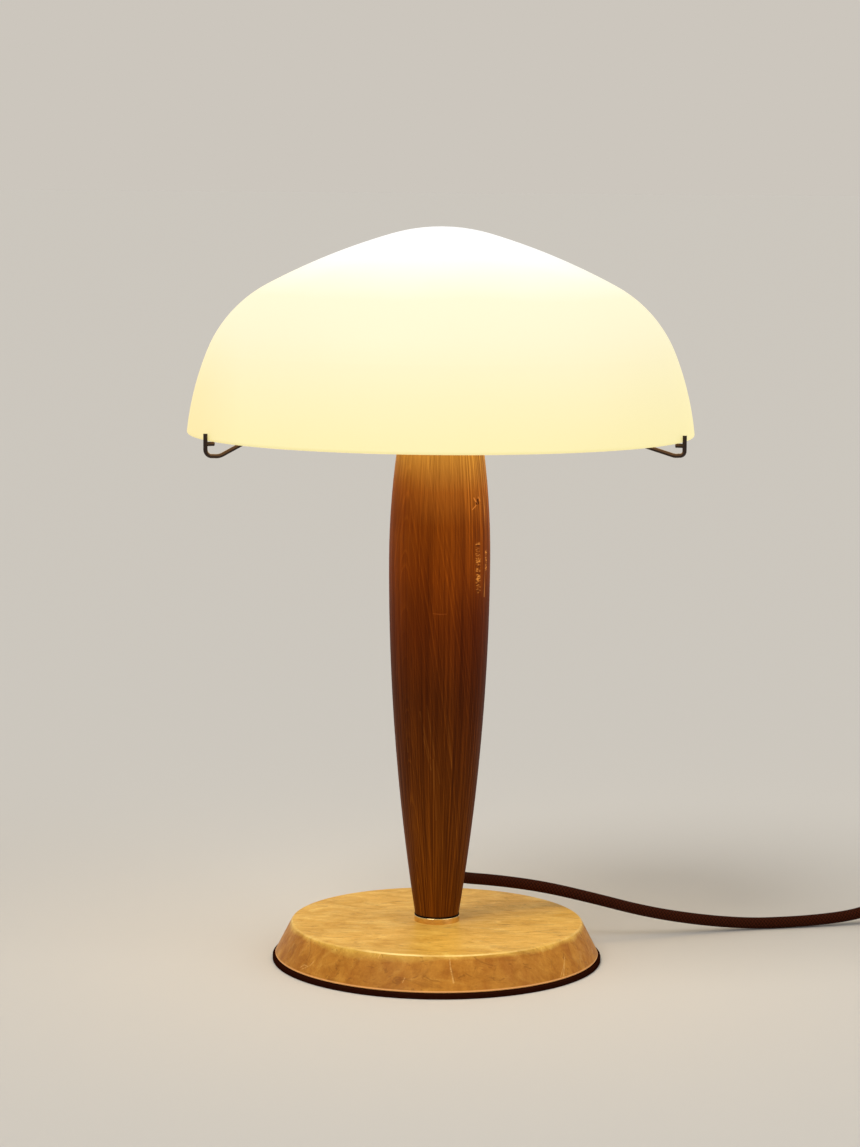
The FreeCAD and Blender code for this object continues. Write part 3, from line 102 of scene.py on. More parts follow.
class Finish:
    """A material in the making, with one method for each kind of node it is built from."""

    def __init__(self, name, **sockets):
        self.material = bpy.data.materials.new(name)
        self.material.use_nodes = True
        self.tree = self.material.node_tree
        self.shader = self.tree.nodes["Principled BSDF"]
        for socket, value in sockets.items():
            self.shader.inputs[socket.replace("_", " ")].default_value = value

    def link(self, source, target):
        self.tree.links.new(source, target)

    def node(self, kind, inputs=(), **settings):
        made = self.tree.nodes.new("ShaderNode" + kind)
        for setting, value in settings.items():
            setattr(made, setting, value)
        for socket, value in dict(inputs).items():
            if isinstance(value, bpy.types.NodeSocket):
                self.link(value, made.inputs[socket])
            else:
                made.inputs[socket].default_value = value
        return made

    def place(self):
        """The point on the piece, in metres."""
        return self.node("TexCoord").outputs["Object"]

    def around(self):
        """The piece's own UV map."""
        return self.node("TexCoord").outputs["UV"]

    def drawn_out(self, vector, x=1.0, y=1.0, z=1.0):
        """Coordinates that make a pattern that many times longer along x, y and z."""
        inputs = {"Vector": vector, "Scale": (1 / x, 1 / y, 1 / z)}
        return self.node("Mapping", inputs).outputs["Vector"]

    def noise(self, vector, scale, detail=3.0, roughness=0.5, distortion=0.0):
        inputs = {"Vector": vector, "Scale": scale, "Detail": detail,
                  "Roughness": roughness, "Distortion": distortion}
        return self.node("TexNoise", inputs).outputs["Fac"]

    def cells(self, vector, scale):
        """How far each point is from the middle of its cell."""
        return self.node("TexVoronoi", {"Vector": vector, "Scale": scale}).outputs["Distance"]

    def maths(self, operation, first, second=0.0, clamp=False):
        made = self.node("Math", {0: first, 1: second}, operation=operation, use_clamp=clamp)
        return made.outputs[0]

    def plus(self, first, second, clamp=False):
        return self.maths("ADD", first, second, clamp)

    def minus(self, first, second):
        return self.maths("SUBTRACT", first, second)

    def times(self, first, *others):
        for other in others:
            first = self.maths("MULTIPLY", first, other)
        return first

    def vector_maths(self, operation, *values):
        """The outputs of a sum on vectors. The result is Vector, or Value where it is one number."""
        return self.node("VectorMath", dict(enumerate(values)), operation=operation).outputs

    def parts(self, vector):
        """The x, y and z of each point."""
        return self.node("SeparateXYZ", {0: vector}).outputs

    def flat(self, across, deep):
        """The point at that x and y, at height 0."""
        return self.node("CombineXYZ", {"X": across, "Y": deep}).outputs[0]

    def spread(self, value, low, high, to_low=0.0, to_high=1.0):
        """The value with low to high laid onto to_low to to_high, and held at those ends."""
        inputs = {"Value": value, "From Min": low, "From Max": high, "To Min": to_low, "To Max": to_high}
        return self.node("MapRange", inputs).outputs[0]

    def ramp(self, value, stops):
        """The colour at that value, between stops that are each a position and a colour."""
        made = self.node("ValToRGB", {"Fac": value})
        ramp = made.color_ramp
        while len(ramp.elements) < len(stops):
            ramp.elements.new(0.5)
        for element, (position, colour) in zip(ramp.elements, stops):
            element.position = position
            element.color = colour
        return made.outputs["Color"]

    def mix(self, share, first, second, blend="MIX"):
        made = self.node("Mix", {0: share}, data_type="RGBA", blend_type=blend)
        for index, value in ((6, first), (7, second)):
            if isinstance(value, bpy.types.NodeSocket):
                self.link(value, made.inputs[index])
            else:
                made.inputs[index].default_value = value
        return made.outputs[2]

    def tint(self, share, tone, factors):
        """The tone with its red, green and blue multiplied by those factors, by that share."""
        return self.mix(share, tone, factors, "MULTIPLY")

    def coated(self, tone, coats):
        """The tone under coats laid over it in turn, each a mask, the share of it that shows and a colour."""
        for mask, share, colour in coats:
            tone = self.mix(self.times(mask, share), tone, colour)
        return tone

    def stroke(self, vector, start, end, width):
        """1 on the line from start to end, and 0 from that width away."""
        along = end - start
        offset = self.vector_maths("SUBTRACT", vector, start)["Vector"]
        share = self.vector_maths("DOT_PRODUCT", offset, along / along.length_squared)["Value"]
        share = self.spread(share, 0.0, 1.0)
        foot = self.node("VectorMath", {0: along, 3: share}, operation="SCALE").outputs["Vector"]
        away = self.vector_maths("DISTANCE", offset, foot)["Value"]
        return self.spread(away, width, 0.0)

    def strokes(self, vector, marks):
        """1 on any of the marks, each a start, an end and a width in millimetres."""
        drawn = 0.0
        for start, end, width in marks:
            line = self.stroke(vector, Vector(start) * MM, Vector(end) * MM, width * MM)
            drawn = self.maths("MAXIMUM", drawn, line)
        return drawn

    def colour(self, source):
        self.link(source, self.shader.inputs["Base Color"])

    def paint_over(self, share, colour):
        """Lays a colour over the base colour where the share is 1."""
        base = self.shader.inputs["Base Color"].links[0].from_socket
        self.colour(self.mix(share, base, colour))

    def roughness(self, source):
        self.link(source, self.shader.inputs["Roughness"])

    def bump(self, height, depth, strength):
        """Raises the surface by height times depth, in metres, on top of any bump before."""
        made = self.node("Bump", {"Height": height, "Distance": depth, "Strength": strength})
        normal = self.shader.inputs["Normal"]
        if normal.is_linked:
            self.link(normal.links[0].from_socket, made.inputs["Normal"])
        self.link(made.outputs["Normal"], normal)


# Wood

STEM_FOOT = 27 * MM
STEM_TOP = 310 * MM
STEM_MEAN_RADIUS = 26 * MM

# The stem's tone from its foot to its top, with the lamp's light painted in: darkest below the middle and
# golden near the top
STEM_TONES_AND_LAMPLIGHT = [
    (0.0, linear(102, 53, 6)),
    (0.28, linear(90, 43, 4)),
    (0.48, linear(84, 37, 4)),
    (0.62, linear(100, 43, 4)),
    (0.74, linear(120, 56, 5)),
    (0.84, linear(121, 61, 8)),
    (0.91, linear(143, 85, 27)),
    (1.0, linear(172, 130, 60)),
]

# The growth rings cut the stem's face in arches, one above the other, that open downwards
ARCH_TOP = 192 * MM
ARCH_TOWARDS = (-0.68, -0.733, 0)
ARCH_SLOPE = 0.178
ARCH_ROUNDING = 0.012
ARCH_SWAY = 34 * MM
ARCH_WAVER = 9 * MM
RING_RISE = 17 * MM
RING_UNEVENNESS = 1.5

# What each pattern multiplies the stem's tone by
RING_FACTORS = [
    (0.0, (0.80, 0.76, 0.70, 1)),
    (0.40, (0.96, 0.95, 0.94, 1)),
    (0.62, (1.02, 1.02, 1.02, 1)),
    (0.80, (1.42, 1.54, 1.70, 1)),
    (0.92, (1.02, 1.02, 1.0, 1)),
    (1.0, (0.80, 0.76, 0.70, 1)),
]
FIBRE_FACTORS = [
    (0.35, (0.54, 0.46, 0.36, 1)),
    (0.5, (0.97, 0.97, 0.97, 1)),
    (0.65, (1.56, 1.62, 1.50, 1)),
]
BAND_FACTORS = [
    (0.36, (0.84, 0.79, 0.72, 1)),
    (0.64, (1.12, 1.13, 1.10, 1)),
]
STREAK_FACTORS = [
    (0.38, (0.64, 0.57, 0.50, 1)),
    (0.5, (1.0, 1.0, 1.0, 1)),
    (0.61, (1.6, 1.7, 1.74, 1)),
]
# Painted shade: a darker patch low on the right and another high on the left
PAINTED_SHADE_RIGHT_FACTORS = (0.66, 0.54, 0.4, 1)
PAINTED_SHADE_LEFT_FACTORS = (0.72, 0.58, 0.4, 1)

# From where to where each pattern fades in or out, across and up the stem
RINGS_UP = (225 * MM, 290 * MM)
FIBRES_UP = (90 * MM, 215 * MM)
# Where the painted shade lies, low on the right and high on the left
PAINTED_SHADE_RIGHT_ACROSS = (4 * MM, 20 * MM)
PAINTED_SHADE_RIGHT_TOP = (238 * MM, 212 * MM)
PAINTED_SHADE_RIGHT_FOOT = (85 * MM, 150 * MM)
PAINTED_SHADE_LEFT_ACROSS = (-6 * MM, -20 * MM)
PAINTED_SHADE_LEFT_FOOT = (258 * MM, 272 * MM)
PAINTED_SHADE_LEFT_TOP = (306 * MM, 290 * MM)
STREAKS_ACROSS = (6 * MM, 20 * MM)
STREAKS_UP = (205 * MM, 258 * MM)

# Marks on the stem, each a start, an end and a width in millimetres
KNOT_CORE = [
    ((22.0, -18.5, 279.9), (22.5, -18.1, 277.7), 0.9),
    ((21.0, -19.6, 278.3), (21.7, -19.0, 277.2), 0.6),
]
KNOT_RIM = [
    ((19.9, -20.6, 281.0), (21.2, -19.4, 278.3), 0.7),
    ((22.6, -17.6, 281.3), (23.5, -16.6, 279.0), 0.6),
    ((21.2, -19.7, 276.7), (19.1, -22.0, 274.5), 0.5),
]
BURL = [
    ((22.5, -19.9, 253.5), (23.0, -19.4, 227.0), 2.6),
    ((27.4, -12.6, 248.5), (27.5, -12.5, 237.5), 1.5),
]
PALE_FIBRES = [
    ((25.9, -12.5, 290.0), (26.5, -14.0, 222.0), 0.55),
    ((29.1, -5.4, 272.0), (29.6, -5.4, 230.0), 0.5),
]
LEANING_FIBRES = [
    ((-10.9, -25.0, 154.3), (-4.8, -24.8, 126.7), 0.8),
    ((-9.0, -24.7, 139.9), (-4.1, -24.3, 119.4), 0.7),
    ((-6.8, -26.7, 158.2), (-2.4, -25.4, 130.5), 0.7),
    ((-2.4, -25.4, 130.5), (1.3, -23.8, 110.9), 0.7),
    ((5.1, -26.7, 152.3), (8.3, -23.3, 120.5), 0.7),
    ((-19.8, -18.0, 145.8), (-17.9, -18.1, 129.0), 0.8),
    ((-3.0, -25.0, 125.6), (-0.9, -21.5, 88.7), 0.8),
]
SCRATCH = [
    ((-3.4, -29.4, 213.7), (0.6, -29.7, 213.2), 0.6),
    ((0.6, -29.7, 213.2), (4.2, -29.3, 213.4), 0.5),
]


def growth_rings(wood, place, outwards, wrapped):
    """The number of the growth ring at each point, counted down the stem from the topmost arch."""
    height = wood.parts(place)["Z"]
    turned = wood.vector_maths("DOT_PRODUCT", outwards, ARCH_TOWARDS)["Value"]
    # Squared, the way across a circle of radius 1 from the arches' middle runs from 0 to 4
    legs = wood.maths("SQRT", wood.spread(turned, 1, -1, ARCH_ROUNDING, 4 + ARCH_ROUNDING))
    sway = wood.noise(wood.drawn_out(place, z=5), scale=30, detail=2, roughness=0.4)
    waver = wood.noise(wood.drawn_out(wrapped, z=60), scale=380, detail=2)
    arch = wood.plus(height, wood.times(legs, ARCH_SLOPE))
    arch = wood.plus(arch, wood.spread(sway, 0, 1, 0, ARCH_SWAY))
    arch = wood.plus(arch, wood.spread(waver, 0, 1, 0, ARCH_WAVER))
    rings = wood.maths("DIVIDE", wood.minus(ARCH_TOP, arch), RING_RISE)
    uneven = wood.node("TexNoise", {"W": rings, "Scale": 0.7, "Detail": 1.0}, noise_dimensions="1D")
    return wood.plus(rings, wood.spread(uneven.outputs["Fac"], 0.2, 0.8, 0.0, RING_UNEVENNESS))


def grained_tone(wood, place, wrapped, rings, fibres):
    """The stem's tone with its rings, fibres and bands, painted shade low on the right and high on the left,
    and bright streaks.
    """
    across, _, height = wood.parts(place)
    years = wood.node("TexWhiteNoise", {"W": wood.maths("FLOOR", rings)}, noise_dimensions="1D")
    shown = wood.spread(height, *RINGS_UP, 1.0, 0.35)
    ring_share = wood.times(wood.spread(years.outputs["Value"], 0, 1, 0.2, 1.0), shown)
    fibre_share = wood.spread(height, *FIBRES_UP, 1.0, 0.42)
    bands = wood.noise(wood.drawn_out(wrapped, z=26), scale=140, detail=2)
    painted_shade_right = wood.times(wood.spread(across, *PAINTED_SHADE_RIGHT_ACROSS), wood.spread(height, *PAINTED_SHADE_RIGHT_TOP),
                           wood.spread(height, *PAINTED_SHADE_RIGHT_FOOT, 0.2, 1.0))
    painted_shade_left = wood.times(wood.spread(across, *PAINTED_SHADE_LEFT_ACROSS), wood.spread(height, *PAINTED_SHADE_LEFT_FOOT),
                       wood.spread(height, *PAINTED_SHADE_LEFT_TOP))
    streaks = wood.noise(wood.drawn_out(wrapped, z=105), scale=1080, detail=3, roughness=0.6)
    streak_share = wood.times(wood.spread(across, *STREAKS_ACROSS), wood.spread(height, *STREAKS_UP))
    # The base tone carries painted lamplight, darkest below the middle and golden near the top
    tone = wood.ramp(wood.spread(height, STEM_FOOT, STEM_TOP), STEM_TONES_AND_LAMPLIGHT)
    tone = wood.tint(ring_share, tone, wood.ramp(wood.maths("FRACT", rings), RING_FACTORS))
    tone = wood.tint(fibre_share, tone, wood.ramp(fibres, FIBRE_FACTORS))
    tone = wood.tint(wood.times(shown, 0.8), tone, wood.ramp(bands, BAND_FACTORS))
    # Painted shade, low on the right and high on the left
    tone = wood.tint(wood.times(painted_shade_right, 0.8), tone, PAINTED_SHADE_RIGHT_FACTORS)
    tone = wood.tint(wood.times(painted_shade_left, 0.8), tone, PAINTED_SHADE_LEFT_FACTORS)
    return wood.tint(streak_share, tone, wood.ramp(streaks, STREAK_FACTORS))


def turned_walnut():
    """Oiled walnut with the lamp's light painted in, golden near the top: growth rings in long arches,
    fibres, pores, a knot and a burl.
    """
    wood = Finish("turned_walnut", Specular_IOR_Level=0.04)
    place = wood.place()
    across, deep, height = wood.parts(place)
    outwards = wood.vector_maths("NORMALIZE", wood.flat(across, deep))["Vector"]
    mean_radius = (STEM_MEAN_RADIUS, STEM_MEAN_RADIUS, 0)
    upright = wood.node("CombineXYZ", {"Z": height}).outputs[0]
    wrapped = wood.vector_maths("MULTIPLY_ADD", outwards, mean_radius, upright)["Vector"]
    rings = growth_rings(wood, place, outwards, wrapped)
    fibres = wood.noise(wood.drawn_out(wrapped, z=90), scale=900, detail=4, roughness=0.6)
    pale = wood.times(wood.strokes(place, PALE_FIBRES), wood.spread(fibres, 0.42, 0.6, 0.3, 0.9))
    leaning = wood.times(wood.strokes(place, LEANING_FIBRES), wood.spread(fibres, 0.40, 0.60, 0.0, 0.55))
    pores = wood.spread(wood.noise(wood.drawn_out(wrapped, z=40), scale=2300, detail=1), 0.64, 0.72)
    burl = wood.spread(wood.strokes(place, BURL), 0.0, 0.55)
    dashes = wood.noise(wood.drawn_out(place, x=2.8, y=2.8, z=0.8), scale=780, detail=3, distortion=0.9)
    light_dashes = wood.times(burl, wood.spread(dashes, 0.53, 0.61))
    dark_dashes = wood.times(burl, wood.spread(dashes, 0.47, 0.40))
    knot_rim = wood.spread(wood.strokes(place, KNOT_RIM), 0.1, 0.8)
    knot_core = wood.spread(wood.strokes(place, KNOT_CORE), 0.1, 0.6)
    scratch = wood.spread(wood.strokes(place, SCRATCH), 0.1, 0.8)
    wood.colour(wood.coated(grained_tone(wood, place, wrapped, rings, fibres), [
        (pale, 1.0, linear(226, 154, 72)),
        (leaning, 1.0, linear(132, 76, 24)),
        (pores, 0.35, linear(50, 22, 8)),
        (burl, 0.35, linear(158, 88, 30)),
        (dark_dashes, 0.6, linear(60, 24, 5)),
        (light_dashes, 0.85, linear(226, 152, 68)),
        (knot_rim, 0.65, linear(222, 146, 70)),
        (knot_core, 0.9, linear(56, 20, 5)),
        (scratch, 0.4, linear(176, 92, 36)),
    ]))
    wood.roughness(wood.spread(fibres, 0.3, 0.7, 0.58, 0.44))
    wood.bump(fibres, 0.10 * MM, strength=0.5)
    wood.bump(pores, -0.08 * MM, strength=0.6)
    wood.bump(light_dashes, 0.15 * MM, strength=0.5)
    wood.bump(knot_core, -0.2 * MM, strength=0.6)
    return wood.material


# Stone

# Where the painted highlight runs round the top's rounded edge
STONE_EDGE_REACH = 86.6 * MM
STONE_EDGE_WIDTH = 0.4 * MM
STONE_EDGE_LEVEL = 22.4 * MM
STONE_EDGE_DEPTH = 0.3 * MM
# Where a painted highlight runs along the bottom of the side, just above the felt
STONE_FOOT_HIGHLIGHT_LEVEL = 4.0 * MM
STONE_FOOT_HIGHLIGHT_FADE = 0.5 * MM

# The side's painted shade, darker and browner, fades in downwards from a level that wanders outside the
# front's middle, and over a taller strip round one place on the front
SIDE_LEVEL = 22.7 * MM
SIDE_WANDER = (-0.6 * MM, 1.4 * MM)
FRONT_MIDDLE = (26 * MM, 52 * MM)
TALL_FADE_PLACE = -34 * MM
TALL_FADE_WIDTH = (20 * MM, 36 * MM)
SIDE_FULL_LEVELS = (17.8 * MM, 20.2 * MM)

CLOUD_TONES = [
    (0.30, linear(196, 146, 57)),
    (0.43, linear(212, 164, 70)),
    (0.56, linear(220, 174, 79)),
    (0.72, linear(234, 196, 102)),
]

# What each pattern multiplies the stone's tone by
PATCH_FACTORS = [
    (0.36, (0.90, 0.88, 0.80, 1)),
    (0.62, (1.05, 1.05, 1.05, 1)),
]
GRIT_FACTORS = [
    (0.3, (0.90, 0.88, 0.84, 1)),
    (0.6, (1.05, 1.05, 1.05, 1)),
]
# Painted shade on the side, darker and browner, broken up by drips
SIDE_SHADE_AND_DRIP_FACTORS = [
    (0.36, (0.57, 0.36, 0.21, 1)),
    (0.5, (0.65, 0.455, 0.30, 1)),
    (0.66, (0.73, 0.54, 0.39, 1)),
]

# Marks on the stone, each a start, an end and a width in millimetres
STONE_PALE_MARKS = [
    ((7.6, -88.2, 21.1), (8.1, -90.4, 16.6), 0.5),
    ((8.1, -90.4, 16.6), (9.9, -94.3, 8.7), 0.7),
    ((75.3, -53.3, 13.9), (74.9, -57.4, 9.7), 0.6),
    ((74.9, -57.4, 9.7), (74.4, -62.0, 4.9), 0.6),
    ((75.1, -55.5, 11.6), (72.7, -63.9, 5.0), 0.35),
    ((92.7, -15.9, 10.2), (94.2, -20.3, 5.7), 0.5),
    ((90.5, -21.4, 12.3), (91.9, -24.5, 8.1), 0.45),
    ((-18.2, -92.1, 10.7), (-19.4, -93.1, 8.3), 0.45),
    ((-32.3, -81.6, 22.5), (-33.8, -82.6, 19.6), 0.45),
    ((-79.9, -53.3, 6.5), (-77.7, -54.7, 8.4), 0.4),
    ((-77.7, -54.7, 8.4), (-75.3, -58.1, 8.2), 0.45),
    ((-79.0, -55.1, 5.8), (-75.3, -58.1, 8.2), 0.35),
    ((-71.6, -59.7, 11.9), (-74.3, -58.9, 8.8), 0.45),
]
STONE_DARK_MARKS = [
    ((8.9, -90.7, 16.0), (10.6, -93.9, 9.4), 0.45),
    ((-19.3, -91.7, 11.0), (-20.5, -92.7, 8.5), 0.4),
    ((-31.7, -82.1, 22.1), (-31.0, -83.3, 20.3), 0.5),
    ((67.7, -61.6, 15.2), (67.3, -65.4, 10.7), 0.5),
    ((39.2, -80.7, 18.6), (45.6, -77.8, 17.8), 0.9),
    ((48.0, -73.7, 22.2), (54.1, -70.7, 20.1), 1.6),
    ((91.6, -22.0, 11.0), (93.2, -26.0, 5.4), 0.5),
    ((40.5, 70.6, 23.0), (46.5, 69.2, 23.0), 1.4),
    ((80.6, 7.6, 23.0), (86.0, 5.4, 23.0), 1.4),
]


def shaded_stone_side(stone, place, beyond):
    """1 on the slab's side, which is painted darker and browner as shade, and 0 on its top."""
    across, _, height = stone.parts(place)
    uneven = stone.noise(stone.drawn_out(place, z=2), scale=70, detail=3, roughness=0.55)
    wander = stone.times(stone.spread(uneven, 0.3, 0.7, *SIDE_WANDER), beyond)
    aside = stone.maths("ABSOLUTE", stone.minus(across, TALL_FADE_PLACE))
    full_level = stone.spread(aside, *TALL_FADE_WIDTH, *SIDE_FULL_LEVELS)
    return stone.spread(stone.plus(height, wander), SIDE_LEVEL, full_level)


def polished_edge_highlight(stone, place, beyond):
    """The pale line round the top's edge, a painted highlight on a polished arris, broken up and strongest in
    the front's middle.
    """
    across, deep, height = stone.parts(place)
    reach = stone.vector_maths("LENGTH", stone.flat(across, deep))["Value"]
    # Breaks up the painted highlight and fades it away from the front's middle
    wear_and_sheen = stone.spread(stone.noise(place, scale=60, detail=2), 0.34, 0.56, 0.3, 0.8)
    wear_and_sheen = stone.times(wear_and_sheen, stone.spread(beyond, 0.0, 1.0, 1.0, 0.25))
    out_there = stone.spread(reach, STONE_EDGE_REACH, STONE_EDGE_REACH + STONE_EDGE_WIDTH)
    up_there = stone.spread(height, STONE_EDGE_LEVEL - STONE_EDGE_DEPTH, STONE_EDGE_LEVEL)
    return stone.times(out_there, up_there, wear_and_sheen)


def travertine():
    """Honed stone: golden clouds, olive dabs, grit, a few pits, a side painted darker and browner as shade,
    with drips and scuffs, and painted highlights round the top's edge and above the foot.
    """
    stone = Finish("travertine", Specular_IOR_Level=0.12)
    place = stone.place()
    across, _, height = stone.parts(place)
    beyond = stone.spread(stone.maths("ABSOLUTE", across), *FRONT_MIDDLE)
    clouds = stone.noise(stone.drawn_out(place, x=2.2), scale=110, detail=6, roughness=0.62, distortion=1.1)
    patches = stone.noise(stone.drawn_out(place, x=1.4), scale=24, detail=4, roughness=0.6, distortion=0.6)
    grit = stone.noise(place, scale=850, detail=3, roughness=0.7)
    smears = stone.noise(stone.drawn_out(place, x=1.9), scale=78, detail=5, roughness=0.7, distortion=1.6)
    smears = stone.spread(smears, 0.54, 0.63)
    dabs = stone.noise(stone.drawn_out(place, x=2.6), scale=240, detail=3, roughness=0.6, distortion=1.2)
    dabs = stone.spread(dabs, 0.62, 0.68)
    drips = stone.noise(stone.drawn_out(place, z=7), scale=118, detail=4, roughness=0.62, distortion=0.4)
    # A painted highlight round the top's edge, which is also less rough
    edge = polished_edge_highlight(stone, place, beyond)
    # A painted highlight along the bottom of the side
    foot = stone.spread(height, STONE_FOOT_HIGHLIGHT_LEVEL + STONE_FOOT_HIGHLIGHT_FADE, STONE_FOOT_HIGHLIGHT_LEVEL)
    pits = stone.spread(stone.cells(place, scale=150), 0.12, 0.05)
    pits = stone.times(pits, stone.spread(stone.noise(place, scale=70), 0.58, 0.66))
    broken = stone.spread(grit, 0.40, 0.58, 0.35, 1.0)
    scuffs = stone.times(stone.strokes(place, STONE_PALE_MARKS), broken)
    nicks = stone.times(stone.strokes(place, STONE_DARK_MARKS), broken)
    tone = stone.ramp(clouds, CLOUD_TONES)
    tone = stone.tint(0.9, tone, stone.ramp(patches, PATCH_FACTORS))
    tone = stone.tint(0.8, tone, stone.ramp(grit, GRIT_FACTORS))
    tone = stone.coated(tone, [
        (smears, 0.45, linear(176, 130, 46)),
        (dabs, 0.5, linear(150, 106, 36)),
    ])
    # Painted shade: the side darker and browner, with drips
    tone = stone.tint(shaded_stone_side(stone, place, beyond), tone, stone.ramp(drips, SIDE_SHADE_AND_DRIP_FACTORS))
    stone.colour(stone.coated(tone, [
        # A painted highlight round the top's edge
        (edge, 1.0, linear(255, 228, 150)),
        # A painted highlight along the bottom of the side
        (foot, 0.75, linear(248, 182, 114)),
        (pits, 0.6, linear(132, 88, 40)),
        (scuffs, 0.6, linear(240, 190, 112)),
        (nicks, 0.5, linear(128, 80, 26)),
    ]))
    stone.roughness(stone.minus(stone.spread(clouds, 0.3, 0.7, 0.5, 0.36), stone.times(edge, 0.2)))
    stone.bump(pits, -0.3 * MM, strength=0.8)
    stone.bump(clouds, 0.35 * MM, strength=0.4)
    stone.bump(smears, 0.12 * MM, strength=0.5)
    stone.bump(grit, 0.03 * MM, strength=0.5)
    stone.bump(nicks, -0.15 * MM, strength=0.6)
    stone.bump(scuffs, 0.08 * MM, strength=0.5)
    return stone.material


# Glass

RIM_LEVEL = 317.3 * MM
CROWN_LEVEL = 439.2 * MM
GLOW_DRIFT = 0.08
AMBER_ACROSS = (-112 * MM, -146 * MM)
AMBER_LEVELS = (0.62, 0.24)
AMBER_GLOW = (0.70, 0.52, 0.15, 1)

# The glow and the glass's own tone from the rim to the crown
OUTER_GLOW = [
    (0.0, (0.73, 0.64, 0.25, 1)),
    (0.24, (0.72, 0.64, 0.305, 1)),
    (0.5, (0.71, 0.65, 0.385, 1)),
    (0.68, (0.71, 0.66, 0.41, 1)),
    (0.76, (0.71, 0.70, 0.53, 1)),
    (0.86, (0.71, 0.72, 0.71, 1)),
    (1.0, (0.72, 0.73, 0.74, 1)),
]
INNER_GLOW = [
    (0.0, (1.6, 1.05, 0.45, 1)),
    (1.0, (2.3, 1.85, 1.15, 1)),
]
GLASS_TONES = [
    (0.0, (0.32, 0.30, 0.27, 1)),
    (1.0, (0.33, 0.32, 0.30, 1)),
]


def lit_opal_glass():
    """Opal glass with the bulb alight behind it: white at the crown, warm cream towards the rim."""
    glass = Finish("lit_opal_glass", Roughness=0.42, Specular_IOR_Level=0.05, Emission_Strength=1.0)
    place = glass.place()
    across, deep, height = glass.parts(place)
    drift = glass.times(glass.minus(glass.noise(place, scale=14, detail=2), 0.5), GLOW_DRIFT)
    level = glass.plus(glass.spread(height, RIM_LEVEL, CROWN_LEVEL), drift, clamp=True)
    amber = glass.times(glass.spread(across, *AMBER_ACROSS), glass.spread(level, *AMBER_LEVELS), 0.5)
    outside = glass.mix(amber, glass.ramp(level, OUTER_GLOW), AMBER_GLOW)
    inside = glass.ramp(level, INNER_GLOW)
    outwards = glass.node("CombineXYZ", {"X": across, "Y": deep, "Z": 0.05}).outputs[0]
    facing = glass.node("NewGeometry").outputs["Normal"]
    faces_out = glass.vector_maths("DOT_PRODUCT", outwards, facing)["Value"]
    is_inside = glass.spread(faces_out, 0.002, -0.002)
    glass.link(glass.mix(is_inside, outside, inside), glass.shader.inputs["Emission Color"])
    glass.colour(glass.ramp(level, GLASS_TONES))
    glass.bump(glass.noise(place, scale=30, detail=1), 0.1 * MM, strength=0.2)
    return glass.material


# Metals, plastics, felt and cloth

def metal(name, colour, roughness, scale=400):
    """Solid metal with fine wear in its tone and gloss."""
    made = Finish(name, Metallic=1.0)
    wear_and_sheen = made.noise(made.place(), scale, detail=4)
    made.colour(made.ramp(wear_and_sheen, [(0.3, darker(colour, 0.88)), (0.7, colour)]))
    made.roughness(made.spread(wear_and_sheen, 0.3, 0.7, roughness * 0.8, roughness * 1.25))
    made.bump(wear_and_sheen, 0.01 * MM, strength=0.4)
    return made.material


def moulded_finish(name, colour, roughness, texture=0.03 * MM, shine=0.5):
    """Moulded plastic or rubber with a spark-eroded skin of that depth and slight unevenness of tone."""
    made = Finish(name, Specular_IOR_Level=shine)
    place = made.place()
    skin = made.noise(place, scale=1600, detail=2)
    tone = made.noise(place, scale=60, detail=2)
    made.colour(made.ramp(tone, [(0.3, darker(colour, 0.85)), (0.7, colour)]))
    made.roughness(made.spread(skin, 0.3, 0.7, roughness * 0.85, roughness * 1.15))
    made.bump(skin, texture, strength=0.6)
    return made


def moulded(*args, **settings):
    """The material of a moulded piece with nothing printed or cut into it."""
    return moulded_finish(*args, **settings).material


BLACK = linear(24, 21, 20)
SWITCH_SEAM = 9 * MM
PLUG_SEAM = 6.85 * MM


def seamed_plastic(name, level, width):
    """Black plastic with the line where its two halves, or the mould's, meet."""
    made = moulded_finish(name, BLACK, 0.4)
    height = made.parts(made.place())["Z"]
    away = made.maths("ABSOLUTE", made.minus(height, level))
    seam = made.spread(away, width, width / 3)
    made.paint_over(made.times(seam, 0.8), linear(6, 5, 5))
    made.bump(seam, -0.3 * MM, strength=0.8)
    return made.material


ON_MARK = [((319.2, 94.5, 17.95), (319.2, 97.5, 17.95), 0.6)]
OFF_MARK = (0.30812, 0.096, 0.01951)
OFF_MARK_RADIUS = 1.5 * MM
OFF_MARK_LINE = (0.36 * MM, 0.24 * MM)


def marked_rocker():
    """The rocker's plastic, printed with a bar for on and a ring for off."""
    made = moulded_finish("rocker_plastic", linear(34, 30, 29), 0.3, texture=0.015 * MM)
    place = made.place()
    bar = made.spread(made.strokes(place, ON_MARK), 0.3, 0.5)
    from_middle = made.vector_maths("DISTANCE", place, OFF_MARK)["Value"]
    from_line = made.maths("ABSOLUTE", made.minus(from_middle, OFF_MARK_RADIUS))
    ring = made.spread(from_line, *OFF_MARK_LINE)
    made.paint_over(made.maths("MAXIMUM", bar, ring), linear(222, 220, 214))
    return made.material


def woven_tie():
    """Black hook tape: a close weave with a napped face."""
    tape = Finish("woven_tie", Roughness=0.85, Specular_IOR_Level=0.15)
    place = tape.place()
    nap = tape.noise(place, scale=1500, detail=4, roughness=0.7)
    rows = tape.node("TexWave", {"Vector": place, "Scale": 420, "Distortion": 1.5, "Detail": 2.0},
                     wave_type="BANDS", bands_direction="Y").outputs["Fac"]
    tape.colour(tape.ramp(nap, [(0.3, linear(14, 13, 13)), (0.7, linear(44, 42, 41))]))
    tape.bump(nap, 0.18 * MM, strength=0.7)
    tape.bump(rows, 0.12 * MM, strength=0.5)
    return tape.material


